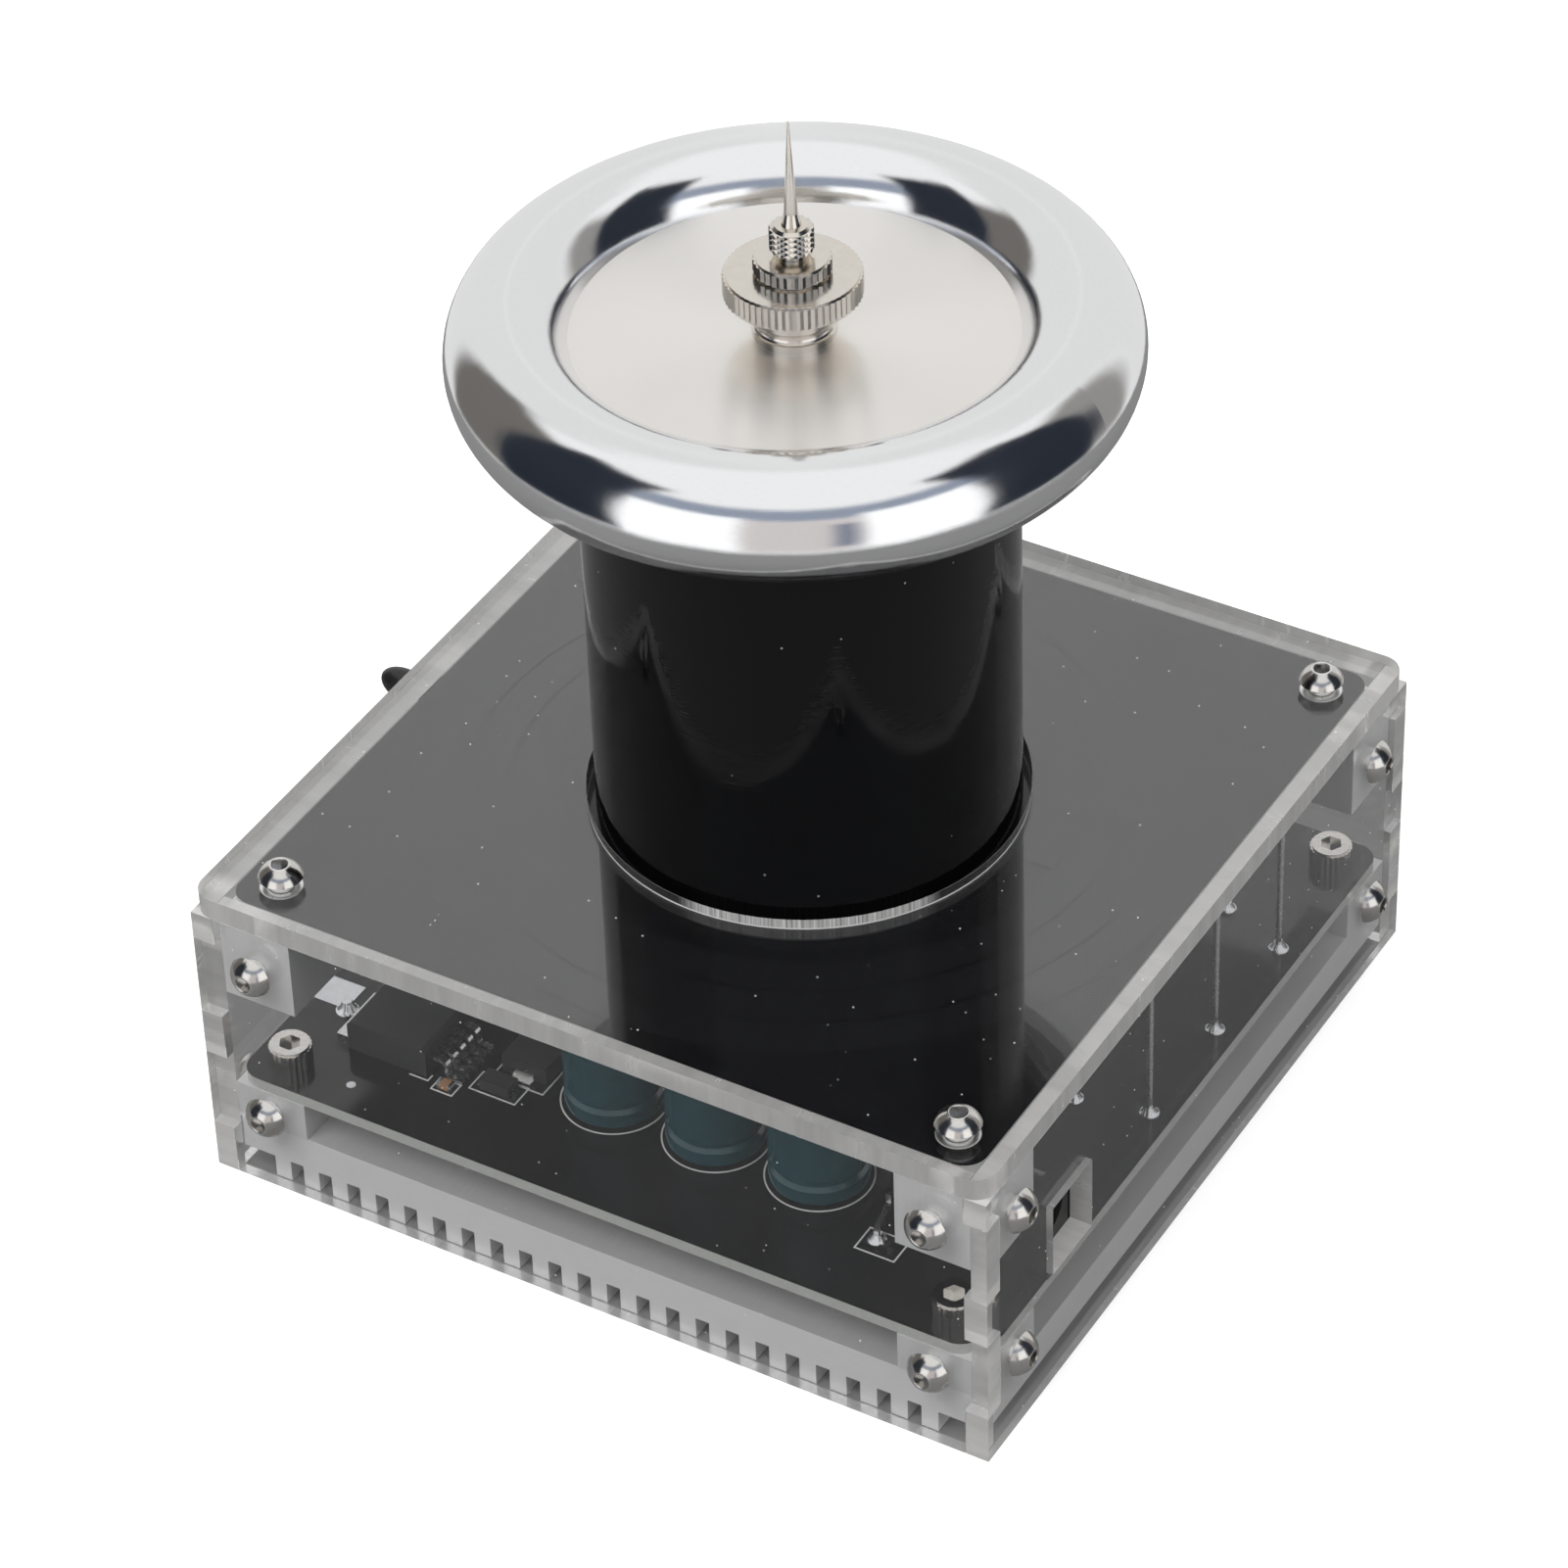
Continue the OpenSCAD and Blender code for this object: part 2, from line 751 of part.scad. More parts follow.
module rectifier() {
    color([0.12, 0.12, 0.12]) difference() {
        box([rect_w, rect_l, rect_h], [rect_x, rect_y, driver_top_z]);
        rectifier_leads();
    }
}

module rectifier_leads() {
    color("silver") for (s = [-1, 1]) translate([rect_x, rect_y + s * (rect_l / 2), driver_top_z]) {
        box([rect_lead_w, 2 * rect_lead_out, rect_lead_t], [0, 0, 0]);
        box([rect_lead_w, 2 * rect_lead_t, rect_h / 2], [0, 0, 0]);
    }
}

module signal_diode() {
    color([0.12, 0.12, 0.12]) difference() {
        box([diode_l, diode_w, diode_h], [diode_x, diode_y, driver_top_z]);
        signal_diode_leads();
    }
}

module signal_diode_leads() {
    color("silver") for (s = [-1, 1]) translate([diode_x + s * (diode_l / 2), diode_y, driver_top_z]) {
        box([2 * diode_lead_out, diode_lead_w, rect_lead_t], [0, 0, 0]);
        box([2 * rect_lead_t, diode_lead_w, diode_h / 2], [0, 0, 0]);
    }
}

module chip_capacitor() {
    color([0.55, 0.38, 0.25]) box([chipcap_l - 2 * chipcap_end, chipcap_w, chipcap_h],
        [chipcap_x, chipcap_y, driver_top_z]);
}

module chip_capacitor_ends() {
    color("silver") for (s = [-1, 1]) box([chipcap_end, chipcap_w, chipcap_h],
        [chipcap_x + s * (chipcap_l - chipcap_end) / 2, chipcap_y, driver_top_z]);
}

// Printed outlines on the driver board
module ring_outline(d) {
    difference() {
        circle(d = d + 2 * ink_w);
        circle(d = d);
    }
}

module box_outline(size, at) {
    translate(at) difference() {
        square([size[0] + 2 * ink_w, size[1] + 2 * ink_w], center = true);
        square(size, center = true);
    }
}

module board_outlines() {
    color("white") translate([0, 0, driver_top_z]) linear_extrude(ink_t) {
        for (p = can_places) translate(p) ring_outline(can_d + 2 * (sleeve_t + ink_gap));
        intersection() {
            box_outline([chip_l + 2 * ink_gap, chip_w + 2 * ink_gap], [chip_x + chip_l / 2, chip_mid_y]);
            translate([chip_x + chip_l + 2 * ink_gap - ink_corner[0], chip_y - 2 * ink_gap])
                square(ink_corner);
        }
        box_outline(bent_box, [bent_x, bent_y] + bent_box_at);
        box_outline([rect_w + 2 * ink_gap, rect_l + 2 * (rect_lead_out + ink_gap)], [rect_x, rect_y]);
        box_outline([diode_l + 2 * (diode_lead_out + ink_gap), diode_w + 2 * ink_gap], [diode_x, diode_y]);
        box_outline([chipcap_l + 2 * ink_gap, chipcap_w + 2 * ink_gap], [chipcap_x, chipcap_y]);
    }
}

// Wires and solder
link_x = case_w / 2 - link_from_right;
link_ys = [for (y = spread(link_count, link_pitch)) link_back + y];
function link_places() = [for (y = link_ys) [link_x, y]];
function wire_places() = concat(link_places(), [[0, 0]]);
wire_z = driver_z - wire_tail;

module upright_wire(p, top) {
    translate([p[0], p[1], wire_z]) cylinder(d = wire_d, h = top - wire_z);
}

module link_wires() {
    color("silver") for (p = link_places()) upright_wire(p, primary_z);
}

module secondary_lead() {
    color([0.75, 0.45, 0.25]) upright_wire([0, 0], coil_z + foot_h);
}

bent_x = case_w / 2 - bent_from_right;
bent_y = bent_from_front - case_d / 2;

module bent_lead() {
    path = [[0, 0], [0, bent_h / 3], [bent_lean, bent_h * 2 / 3], [bent_lean, bent_h]];
    color("silver") translate([bent_x - bent_w / 2, bent_y, driver_top_z])
        rotate([90, 0, 90]) linear_extrude(bent_w) polygon(ribbon(path, bent_t));
}

module solder_joints() {
    color("silver") {
        for (p = wire_places()) translate([p[0], p[1], driver_top_z]) solder(dome_d, dome_h, wire_d);
        for (p = link_places()) translate([p[0], p[1], primary_z])
            mirror([0, 0, 1]) solder(dome_d, dome_h, wire_d);
        for (y = pin_dome_ys) translate([case_w / 2 - pin_from_right, y, driver_top_z])
            solder(dome_d, dome_h, 0);
        difference() {
            translate([bent_x, bent_y, driver_top_z]) solder(dome_d, dome_h, 0);
            bent_lead();
        }
        translate([chip_x - tab_l - blob_gap - blob_d / 2, blob_from_front - case_d / 2, driver_top_z])
            solder(blob_d, blob_h, 0);
        translate([tin_from_left - case_w / 2, tin_from_front - case_d / 2, driver_top_z])
            cube([tin_l, tin_w, tin_t]);
        translate([via_from_left - case_w / 2, via_from_front - case_d / 2, driver_top_z])
            cylinder(d = via_d, h = tin_t);
    }
}

// Power jack
module dc_jack() {
    color([0.08, 0.08, 0.08]) difference() {
        union() {
            box([jack_front_t, jack_w, jack_h], [jack_x - jack_front_t / 2, jack_y, driver_top_z]);
            translate([jack_x - jack_l, jack_y, jack_z]) rotate([0, 90, 0])
                cylinder(d = jack_barrel_d, h = jack_l - jack_front_t / 2);
            box([jack_l - jack_front_t / 2, jack_w, jack_cradle_h],
                [jack_x - jack_l / 2 - jack_front_t / 4, jack_y, driver_top_z]);
        }
        translate([jack_x - socket_depth, jack_y, jack_z]) rotate([0, 90, 0])
            cylinder(d = socket_d, h = socket_depth + overrun);
        translate([jack_x - socket_depth - pin_root_l, jack_y, jack_z]) rotate([0, 90, 0])
            cylinder(d = pin_root_d, h = pin_root_l + overrun);
    }
}

module jack_pin() {
    color("silver") translate([jack_x - socket_depth - pin_root_l, jack_y, jack_z]) rotate([0, 90, 0]) {
        cylinder(d = pin_root_d, h = pin_root_l);
        cylinder(d = pin_d, h = pin_root_l + socket_depth - pin_back - pin_tip);
        translate([0, 0, pin_root_l + socket_depth - pin_back - pin_tip])
            cylinder(d1 = pin_d, d2 = pin_d - 2 * pin_tip, h = pin_tip);
    }
}

function jack_leg_xs() = [for (s = jack_leg_steps) jack_x - jack_l + s];
jack_leg_hole = [jack_leg_t + 2 * wire_gap, jack_leg_w + 2 * wire_gap];

module jack_terminals() {
    color("silver") for (x = jack_leg_xs())
        box([jack_leg_t, jack_leg_w, board_t + jack_leg_h], [x, jack_y, driver_z - jack_leg_h]);
}

// Power switch
module along_switch() {
    translate([switch_face_x, switch_y, switch_z]) rotate([0, -90, 0]) children();
}

module switch_body() {
    color([0.1, 0.12, 0.3]) along_switch()
        box([switch_h, switch_w, switch_depth], [0, 0, -switch_depth]);
}

module switch_bushing() {
    color("silver") along_switch() difference() {
        cylinder(d = bushing_d, h = bushing_l);
        translate([0, 0, lever_seat]) cylinder(d = bushing_bore_d, h = bushing_l);
        translate([0, 0, bushing_l - bushing_mouth_l]) cylinder(
            d1 = bushing_bore_d, d2 = bushing_mouth_d, h = bushing_mouth_l);
        translate([0, 0, bushing_l]) cylinder(d = bushing_mouth_d, h = overrun);
    }
}

module switch_washer() {
    color("silver") along_switch() translate([0, 0, switch_seat]) tube(washer_d, bushing_d, washer_t);
}

module switch_nut() {
    color("silver") along_switch() translate([0, 0, switch_seat + washer_t]) difference() {
        hexagon(nut_af, nut_t);
        translate([0, 0, -overrun]) cylinder(d = bushing_d, h = nut_t + 2 * overrun);
    }
}

terminal_hole_d = norm([terminal_w, terminal_t]) + wire_gap;
function terminal_xs() = [for (i = [0:2]) switch_face_x + switch_depth + terminal_out + i * terminal_step];

module switch_terminals() {
    color("silver") for (i = [0:2]) {
        z = switch_z + (i - 1) * terminal_pitch;
        run = terminal_out + i * terminal_step;
        path = concat([[0, z]],
            rounded(run - terminal_bend_r, z - terminal_bend_r, terminal_bend_r, 90, 0, 4),
            [[run, driver_z - wire_tail]]);
        translate([switch_face_x + switch_depth, switch_y + terminal_w / 2, 0]) rotate([90, 0, 0])
            linear_extrude(terminal_w) polygon(ribbon(path, terminal_t));
    }
}

module along_lever() {
    translate([pivot_x, switch_y, switch_z]) rotate([0, lever_throw - 90, 0]) children();
}

module switch_lever() {
    color("silver") along_lever() {
        sphere(d = lever_ball_d);
        cylinder(d = lever_d, h = lever_l - lever_cap_dome);
    }
}

module lever_cap() {
    h = lever_l - lever_cap_dome;
    color([0.05, 0.05, 0.05]) along_lever() difference() {
        rotate_extrude() polygon(concat([[0, lever_cap_from], [lever_cap_d / 2, lever_cap_from]],
            [for (i = [0:8]) let (a = 90 * i / 8)
                [lever_cap_d / 2 * cos(a), h + lever_cap_dome * sin(a)]]));
        cylinder(d = lever_d, h = h);
    }
}

// Power transistors
transistor_body_x = transistor_lead_x - transistor_lead_run - transistor_l;
transistor_tab_x = transistor_body_x - transistor_tab_l;
transistor_screw_x = transistor_tab_x + transistor_tab_l / 2;
transistor_z = sink_h + pad_t;
transistor_screw_z = transistor_z + transistor_tab_t;
lead_hole_d = norm([transistor_lead_w, transistor_lead_t]) + wire_gap;

function transistor_lead_places() = [for (y = transistor_ys, dy = spread(3, transistor_lead_pitch))
    [transistor_lead_x, y + dy]];

module power_transistors() {
    color([0.1, 0.1, 0.1]) for (y = transistor_ys) difference() {
        box([transistor_l, transistor_w, transistor_h],
            [transistor_body_x + transistor_l / 2, y, transistor_z]);
        box([transistor_l, transistor_w - 2 * pad_margin, transistor_tab_t + overrun],
            [transistor_body_x + transistor_l / 2 - pad_margin, y, transistor_z - overrun]);
    }
}

module transistor_tabs() {
    l = transistor_tab_l + transistor_l - pad_margin;
    color("silver") for (y = transistor_ys) difference() {
        box([l, transistor_w - 2 * pad_margin, transistor_tab_t],
            [transistor_tab_x + l / 2, y, transistor_z]);
        translate([transistor_screw_x, y, transistor_z - overrun])
            cylinder(d = transistor_hole_d, h = transistor_tab_t + 2 * overrun);
    }
}

module transistor_leads() {
    r = lead_bend_r;
    z = transistor_z + transistor_lead_z;
    path = concat([[-transistor_lead_run, z]],
        rounded(-r, z + r, r, 270, 360, 4),
        [[0, driver_top_z + wire_tail]]);
    color("silver") for (p = transistor_lead_places())
        translate([p[0], p[1] + transistor_lead_w / 2, 0]) rotate([90, 0, 0])
            linear_extrude(transistor_lead_w) polygon(ribbon(path, transistor_lead_t));
}

module thermal_pads() {
    l = transistor_tab_l + transistor_l;
    color([0.6, 0.6, 0.62]) for (y = transistor_ys) difference() {
        box([l, transistor_w, pad_t], [transistor_tab_x + l / 2, y, sink_h]);
        translate([transistor_screw_x, y, sink_h - overrun])
            cylinder(d = transistor_hole_d, h = pad_t + 2 * overrun);
    }
}

// Coil
function foot_angles() = [for (i = [0:foot_screw_count - 1]) 90 + 360 * i / foot_screw_count];

module coil_foot() {
    color([0.2, 0.2, 0.2]) translate([0, 0, coil_z]) difference() {
        tube(former_bore_d, foot_wire_d, foot_h);
        for (a = foot_angles()) rotate(a) translate([foot_screw_r, 0, -overrun])
            cylinder(d = screw_d, h = short_screw_l - board_t + overrun);
    }
}

module coil_former() {
    color([0.85, 0.85, 0.8]) translate([0, 0, coil_z]) tube(former_d, former_bore_d, coil_h);
}

module secondary_winding() {
    color([0.6, 0.3, 0.15]) translate([0, 0, coil_z + wire_end])
        tube(former_d + 2 * wire_t, former_d, coil_h - 2 * wire_end);
}

module coil_sleeve() {
    color([0.07, 0.07, 0.07]) translate([0, 0, coil_z]) difference() {
        tube(coil_d, former_d, coil_h);
        translate([0, 0, wire_end]) cylinder(d = former_d + 2 * wire_t, h = coil_h - 2 * wire_end);
    }
}

module coil_top_plug() {
    color([0.2, 0.2, 0.2]) translate([0, 0, coil_top_z - plug_h]) tube(former_bore_d, screw_d, plug_h);
}

module stud_nut() {
    color("silver") translate([0, 0, coil_top_z - plug_h - stud_nut_h]) difference() {
        hexagon(stud_nut_af, stud_nut_h);
        translate([0, 0, -overrun]) cylinder(d = screw_d, h = stud_nut_h + 2 * overrun);
    }
}

module toroid_ring() {
    color([0.85, 0.86, 0.88]) difference() {
        translate([0, 0, toroid_z]) rotate_extrude() translate([toroid_r, 0]) difference() {
            circle(d = toroid_tube_d);
            circle(d = toroid_tube_d - 2 * toroid_wall);
        }
        translate([0, 0, toroid_z - toroid_tube_d]) cylinder(d = disc_d, h = 2 * toroid_tube_d);
    }
}

module toroid_disc() {
    color([0.85, 0.86, 0.88]) translate([0, 0, disc_z]) tube(disc_d, screw_d + 2 * bolt_gap, disc_t);
}

// Terminal
module terminal_stud() {
    z = coil_top_z - plug_h - stud_nut_h - stud_tail;
    color("silver") translate([0, 0, z]) cylinder(d = screw_d, h = grip_z + stud_in_grip - z);
}

module terminal_collar() {
    r = collar_d / 2;
    a = collar_groove_angle;
    groove_x = r - collar_groove + collar_groove_r;
    groove_z = collar_rim_h + collar_groove_h / 2;
    color([0.8, 0.78, 0.74]) translate([0, 0, collar_z]) difference() {
        rotate_extrude() polygon(concat([[0, 0], [r, 0]],
            rounded(groove_x, groove_z, collar_groove_r, 180 + a, 180 - a, 8),
            [[r, collar_h - nut_edge], [r - nut_edge, collar_h], [0, collar_h]]));
        translate([0, 0, -overrun]) cylinder(d = screw_d, h = collar_h + 2 * overrun);
    }
}

module round_nut(d, grooves, h) {
    difference() {
        union() {
            cylinder(d = d - 2 * nut_edge - groove_depth, h = h);
            translate([0, 0, nut_edge]) grooved(d, groove_depth, grooves, h - 2 * nut_edge);
        }
        translate([0, 0, -overrun]) cylinder(d = screw_d + 2 * thread_gap, h = h + 2 * overrun);
    }
}

module thumb_nut() {
    color([0.8, 0.78, 0.74]) translate([0, 0, thumb_z]) round_nut(thumb_d, thumb_grooves, thumb_h);
}

module lock_nut() {
    color([0.8, 0.78, 0.74]) translate([0, 0, lock_z]) round_nut(lock_d, lock_grooves, lock_h);
}

// Barrel of diamonds: points of every second row and column stand out
module knurl(d, depth, h) {
    columns = grip_columns;
    rows = grip_rows;
    grid = [for (j = [0:rows]) [for (i = [0:columns - 1]) let (a = 360 * i / columns,
        r = d / 2 - ((i + j) % 2) * depth) [r * cos(a), r * sin(a), h * j / rows]]];
    points = concat([for (row = grid) each row], [[0, 0, 0], [0, 0, h]]);
    bottom = len(points) - 2;
    top = len(points) - 1;
    quads = [for (j = [0:rows - 1], i = [0:columns - 1]) let (k = (i + 1) % columns, b = j * columns,
        t = b + columns) (i + j) % 2 == 0
            ? [[b + i, t + i, t + k], [b + i, t + k, b + k]]
            : [[b + i, t + i, b + k], [b + k, t + i, t + k]]];
    ends = [for (i = [0:columns - 1]) let (k = (i + 1) % columns)
        [[bottom, i, k], [top, rows * columns + k, rows * columns + i]]];
    polyhedron(points = points, faces = concat([for (q = quads) each q], [for (e = ends) each e]));
}

module discharge_needle() {
    core = grip_d / 2 - 1.4 * grip_depth;
    top = grip_h + needle_l;
    waist_z = grip_h + needle_foot_h;
    color([0.8, 0.78, 0.74]) translate([0, 0, grip_z]) difference() {
        union() {
            translate([0, 0, grip_edge]) knurl(grip_d, grip_depth, grip_h - 2 * grip_edge);
            rotate_extrude() polygon([[0, 0], [core - grip_edge, 0], [core, grip_edge],
                [core, grip_h - grip_edge], [core - grip_edge, grip_h], [needle_foot_d / 2, grip_h],
                [needle_waist_d / 2, waist_z], [needle_tip_d / 2, top], [0, top]]);
        }
        translate([0, 0, -overrun])
            cylinder(d = screw_d + 2 * thread_gap, h = stud_in_grip + swing_gap + overrun);
    }
}

front_wall();
back_wall();
left_wall();
right_wall();
top_plate();
heat_sink();
lower_corner_blocks();
upper_corner_blocks();
driver_board();
board_outlines();
primary_board();
primary_track();
short_screws();
plate_screws();
board_screws();
capacitor_cans();
capacitor_sleeves();
driver_chip();
driver_chip_tab();
driver_chip_leads();
rectifier();
rectifier_leads();
signal_diode();
signal_diode_leads();
chip_capacitor();
chip_capacitor_ends();
solder_joints();
link_wires();
secondary_lead();
bent_lead();
dc_jack();
jack_pin();
jack_terminals();
switch_body();
switch_bushing();
switch_washer();
switch_nut();
switch_terminals();
switch_lever();
lever_cap();
power_transistors();
transistor_tabs();
transistor_leads();
thermal_pads();
coil_foot();
coil_former();
secondary_winding();
coil_sleeve();
coil_top_plug();
stud_nut();
toroid_ring();
toroid_disc();
terminal_stud();
terminal_collar();
thumb_nut();
lock_nut();
discharge_needle();
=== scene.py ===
"""Desktop resonant transformer: materials, thin trim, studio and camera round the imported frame."""

import math

import bmesh
import bpy
from mathutils import Matrix, Vector


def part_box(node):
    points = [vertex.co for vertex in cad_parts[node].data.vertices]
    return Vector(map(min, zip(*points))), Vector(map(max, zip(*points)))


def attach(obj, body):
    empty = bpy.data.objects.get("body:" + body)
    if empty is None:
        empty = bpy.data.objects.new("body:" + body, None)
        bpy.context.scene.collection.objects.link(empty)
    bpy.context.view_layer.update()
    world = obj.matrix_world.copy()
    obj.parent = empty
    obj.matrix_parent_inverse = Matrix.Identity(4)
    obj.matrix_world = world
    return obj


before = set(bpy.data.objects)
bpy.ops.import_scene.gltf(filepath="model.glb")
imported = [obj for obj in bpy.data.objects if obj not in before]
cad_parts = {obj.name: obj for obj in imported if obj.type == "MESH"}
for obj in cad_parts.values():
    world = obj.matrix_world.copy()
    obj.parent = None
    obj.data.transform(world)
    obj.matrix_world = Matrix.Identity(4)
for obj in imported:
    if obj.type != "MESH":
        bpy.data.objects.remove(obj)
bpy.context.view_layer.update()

MM = 0.001

# Camera
VIEW_AZIMUTH = math.radians(31.465)
VIEW_ELEVATION = math.radians(39.022)
VIEW_ROLL = math.radians(-2.054)
VIEW_DISTANCE = 780.33 * MM
VIEW_AIM = Vector((0, 0, 30 * MM))
VIEW_SLIDE = (-3.485 * MM, 9.991 * MM)
VIEW_NEAREST = 10 * MM
LENS = 143.718
SENSOR = 36

# Places that the materials follow
toroid_low, toroid_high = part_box("toroid_ring")
TOROID_TUBE = (toroid_high[2] - toroid_low[2]) / 2
TOROID_RADIUS = (toroid_high[0] - toroid_low[0]) / 2 - TOROID_TUBE
TOROID_MIDDLE = (toroid_high[2] + toroid_low[2]) / 2

# Part of the normal along an axis, past which a face counts as lying across that axis
FACING = 0.5


def set_input(tree, node, key, value):
    """Links a socket or sets a constant."""
    if isinstance(value, bpy.types.NodeSocket):
        tree.links.new(value, node.inputs[key])
    elif isinstance(value, tuple) and len(value) == 3 and len(node.inputs[key].default_value) == 4:
        node.inputs[key].default_value = (*value, 1)
    else:
        node.inputs[key].default_value = value


def put(tree, kind, inputs=None, **settings):
    """Adds one node with its settings and inputs."""
    node = tree.nodes.new(kind)
    for name, value in settings.items():
        setattr(node, name, value)
    for key, value in (inputs or {}).items():
        set_input(tree, node, key, value)
    return node


def math_of(tree, operation, first, second=0.0, clamp=False):
    inputs = {0: first, 1: second}
    return put(tree, "ShaderNodeMath", inputs, operation=operation, use_clamp=clamp).outputs[0]


def times(tree, first, second, clamp=False):
    return math_of(tree, "MULTIPLY", first, second, clamp)


def plus(tree, first, second):
    return math_of(tree, "ADD", first, second)


def larger(tree, first, second):
    return math_of(tree, "MAXIMUM", first, second)


def levels(tree, factor, low, high):
    """A factor of 0 to 1 brought to low to high."""
    inputs = {"Value": factor, "To Min": low, "To Max": high}
    return put(tree, "ShaderNodeMapRange", inputs).outputs[0]


def soft_step(tree, value, middle, soft, before, after):
    """From before to after as the value passes the middle."""
    inputs = {"Value": value, "From Min": middle - soft, "From Max": middle + soft,
              "To Min": before, "To Max": after}
    return put(tree, "ShaderNodeMapRange", inputs, interpolation_type="SMOOTHSTEP").outputs[0]


def between(tree, value, low, high, soft):
    """1 where value lies between low and high, with soft edges."""
    rise = soft_step(tree, value, low, soft, before=0.0, after=1.0)
    fall = soft_step(tree, value, high, soft, before=1.0, after=0.0)
    return times(tree, rise, fall)


def mix_colour(tree, factor, first, second):
    node = put(tree, "ShaderNodeMix", data_type="RGBA")
    set_input(tree, node, 0, factor)
    set_input(tree, node, 6, first)
    set_input(tree, node, 7, second)
    return node.outputs[2]


def mix_shader(tree, factor, first, second):
    return put(tree, "ShaderNodeMixShader", {0: factor, 1: first, 2: second}).outputs[0]


def scaled(colour, share):
    return tuple(min(1.0, share * part) for part in colour)


def shaded(tree, factor, colour, low, high):
    """The colour, from low times to high times as bright."""
    return mix_colour(tree, factor, scaled(colour, low), scaled(colour, high))


def vector_math(tree, operation, inputs):
    return put(tree, "ShaderNodeVectorMath", inputs, operation=operation).outputs


def length(tree, vector):
    return vector_math(tree, "LENGTH", {0: vector})["Value"]


def stretched(tree, vector, scale):
    return vector_math(tree, "MULTIPLY", {0: vector, 1: scale})[0]


def split(tree, vector):
    return put(tree, "ShaderNodeSeparateXYZ", {0: vector}).outputs


def join(tree, x=0.0, y=0.0, z=0.0):
    return put(tree, "ShaderNodeCombineXYZ", {0: x, 1: y, 2: z}).outputs[0]


def place_mm(tree):
    """The point on the surface, in the frame's millimetres."""
    place = put(tree, "ShaderNodeTexCoord").outputs["Object"]
    return vector_math(tree, "SCALE", {0: place, "Scale": 1 / MM})[0]


def round_axis(tree, place):
    """The distance from the upright middle axis, and the angle round it."""
    x, y, _ = split(tree, place)
    return length(tree, join(tree, x, y)), math_of(tree, "ARCTAN2", y, x)


def facing(tree, axis):
    """How squarely a face lies across the axis, from 0 to 1."""
    normal = put(tree, "ShaderNodeTexCoord").outputs["Normal"]
    return math_of(tree, "ABSOLUTE", split(tree, normal)[axis])


def noise(tree, vector, scale=1.0, detail=3.0, roughness=0.5):
    inputs = {"Vector": vector, "Scale": scale, "Detail": detail, "Roughness": roughness}
    return put(tree, "ShaderNodeTexNoise", inputs).outputs[0]


def specks(tree, vector, scale, size, share):
    """Round specks in a few cells of a grid."""
    node = put(tree, "ShaderNodeTexVoronoi", {"Vector": vector, "Scale": scale})
    near = math_of(tree, "LESS_THAN", node.outputs["Distance"], size)
    chosen = math_of(tree, "GREATER_THAN", split(tree, node.outputs["Color"])[0], 1 - share)
    return times(tree, near, chosen)


def bump(tree, height, strength, depth_mm):
    inputs = {"Height": height, "Strength": strength, "Distance": depth_mm * MM}
    return put(tree, "ShaderNodeBump", inputs).outputs[0]


def start(name, colour, roughness, metallic=0.0, **more):
    """A new material, with plain values for readers that can't follow the nodes behind them."""
    material = bpy.data.materials.new(name)
    material.use_nodes = True
    tree = material.node_tree
    shader = tree.nodes["Principled BSDF"]
    set_input(tree, shader, "Base Color", colour)
    set_input(tree, shader, "Roughness", roughness)
    set_input(tree, shader, "Metallic", metallic)
    for key, value in more.items():
        set_input(tree, shader, key.replace("_", " "), value)
    return material, tree, shader


def finish_shader(tree, shader, colour, roughness, normal):
    set_input(tree, shader, "Base Color", colour)
    set_input(tree, shader, "Roughness", roughness)
    set_input(tree, shader, "Normal", normal)


def dress(material, *names):
    for name in names:
        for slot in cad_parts[name].material_slots:
            slot.material = material


# Clear sheet; texture scales are per millimetre
SHEET_IOR = 1.49
SHEET_TINT = (0.99, 0.99, 0.99)
SHEET_AXES = {"front_wall": 1, "back_wall": 1, "left_wall": 0, "right_wall": 0, "top_plate": 2}
EDGE_ROUGHNESS = 0.25
EDGE_TINT = (0.82, 0.81, 0.8)
EDGE_CLEARNESS = 0.6
EDGE_LINES = 0.5
EDGE_LINES_ACROSS = 0.05
DUST_ROUGHNESS = 0.6

# The wall of the top plate's round hole, in millimetres, and its part with painted light stripes, in
# degrees
HOLE_REACH = 32
HOLE_RIM = 0.15
HOLE_RIM_PAINTED_HIGHLIGHT = 0.3
HOLE_FOOT = 0.45
HOLE_PAINTED_STRIPES = (-92, -28)
HOLE_PAINTED_STRIPES_SOFT = 4.0
# Painted shade for the dark hole wall, and painted highlight for its pale rims and stripes
HOLE_PAINTED_SHADE = (0.015, 0.015, 0.015)
HOLE_PAINTED_HIGHLIGHT = (0.95, 0.95, 0.94)


def coil_hole(tree, place):
    """1 on the wall of the plate's hole, and its colour: dark as painted shade, pale at the rims as
    painted highlights, partly striped with painted light.
    """
    z = split(tree, place)[2]
    flat, around = round_axis(tree, place)
    low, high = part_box("top_plate")
    foot = math_of(tree, "LESS_THAN", z, low[2] / MM + HOLE_FOOT)
    rim = math_of(tree, "GREATER_THAN", z, high[2] / MM - HOLE_RIM)
    grain = noise(tree, join(tree, around), scale=60.0, roughness=0.7)
    stripes = levels(tree, grain, low=-0.9, high=2.2)
    degrees = math_of(tree, "DEGREES", around)
    striped = between(tree, degrees, *HOLE_PAINTED_STRIPES, soft=HOLE_PAINTED_STRIPES_SOFT)
    # Painted light: stripes on the front-facing part, a painted highlight at the top rim and at the
    # foot
    painted_light = times(tree, striped, stripes, clamp=True)
    painted_light = larger(tree, painted_light, times(tree, rim, HOLE_RIM_PAINTED_HIGHLIGHT))
    painted_light = larger(tree, painted_light, foot)
    wall = math_of(tree, "LESS_THAN", flat, HOLE_REACH)
    return wall, mix_colour(tree, painted_light, HOLE_PAINTED_SHADE, HOLE_PAINTED_HIGHLIGHT)


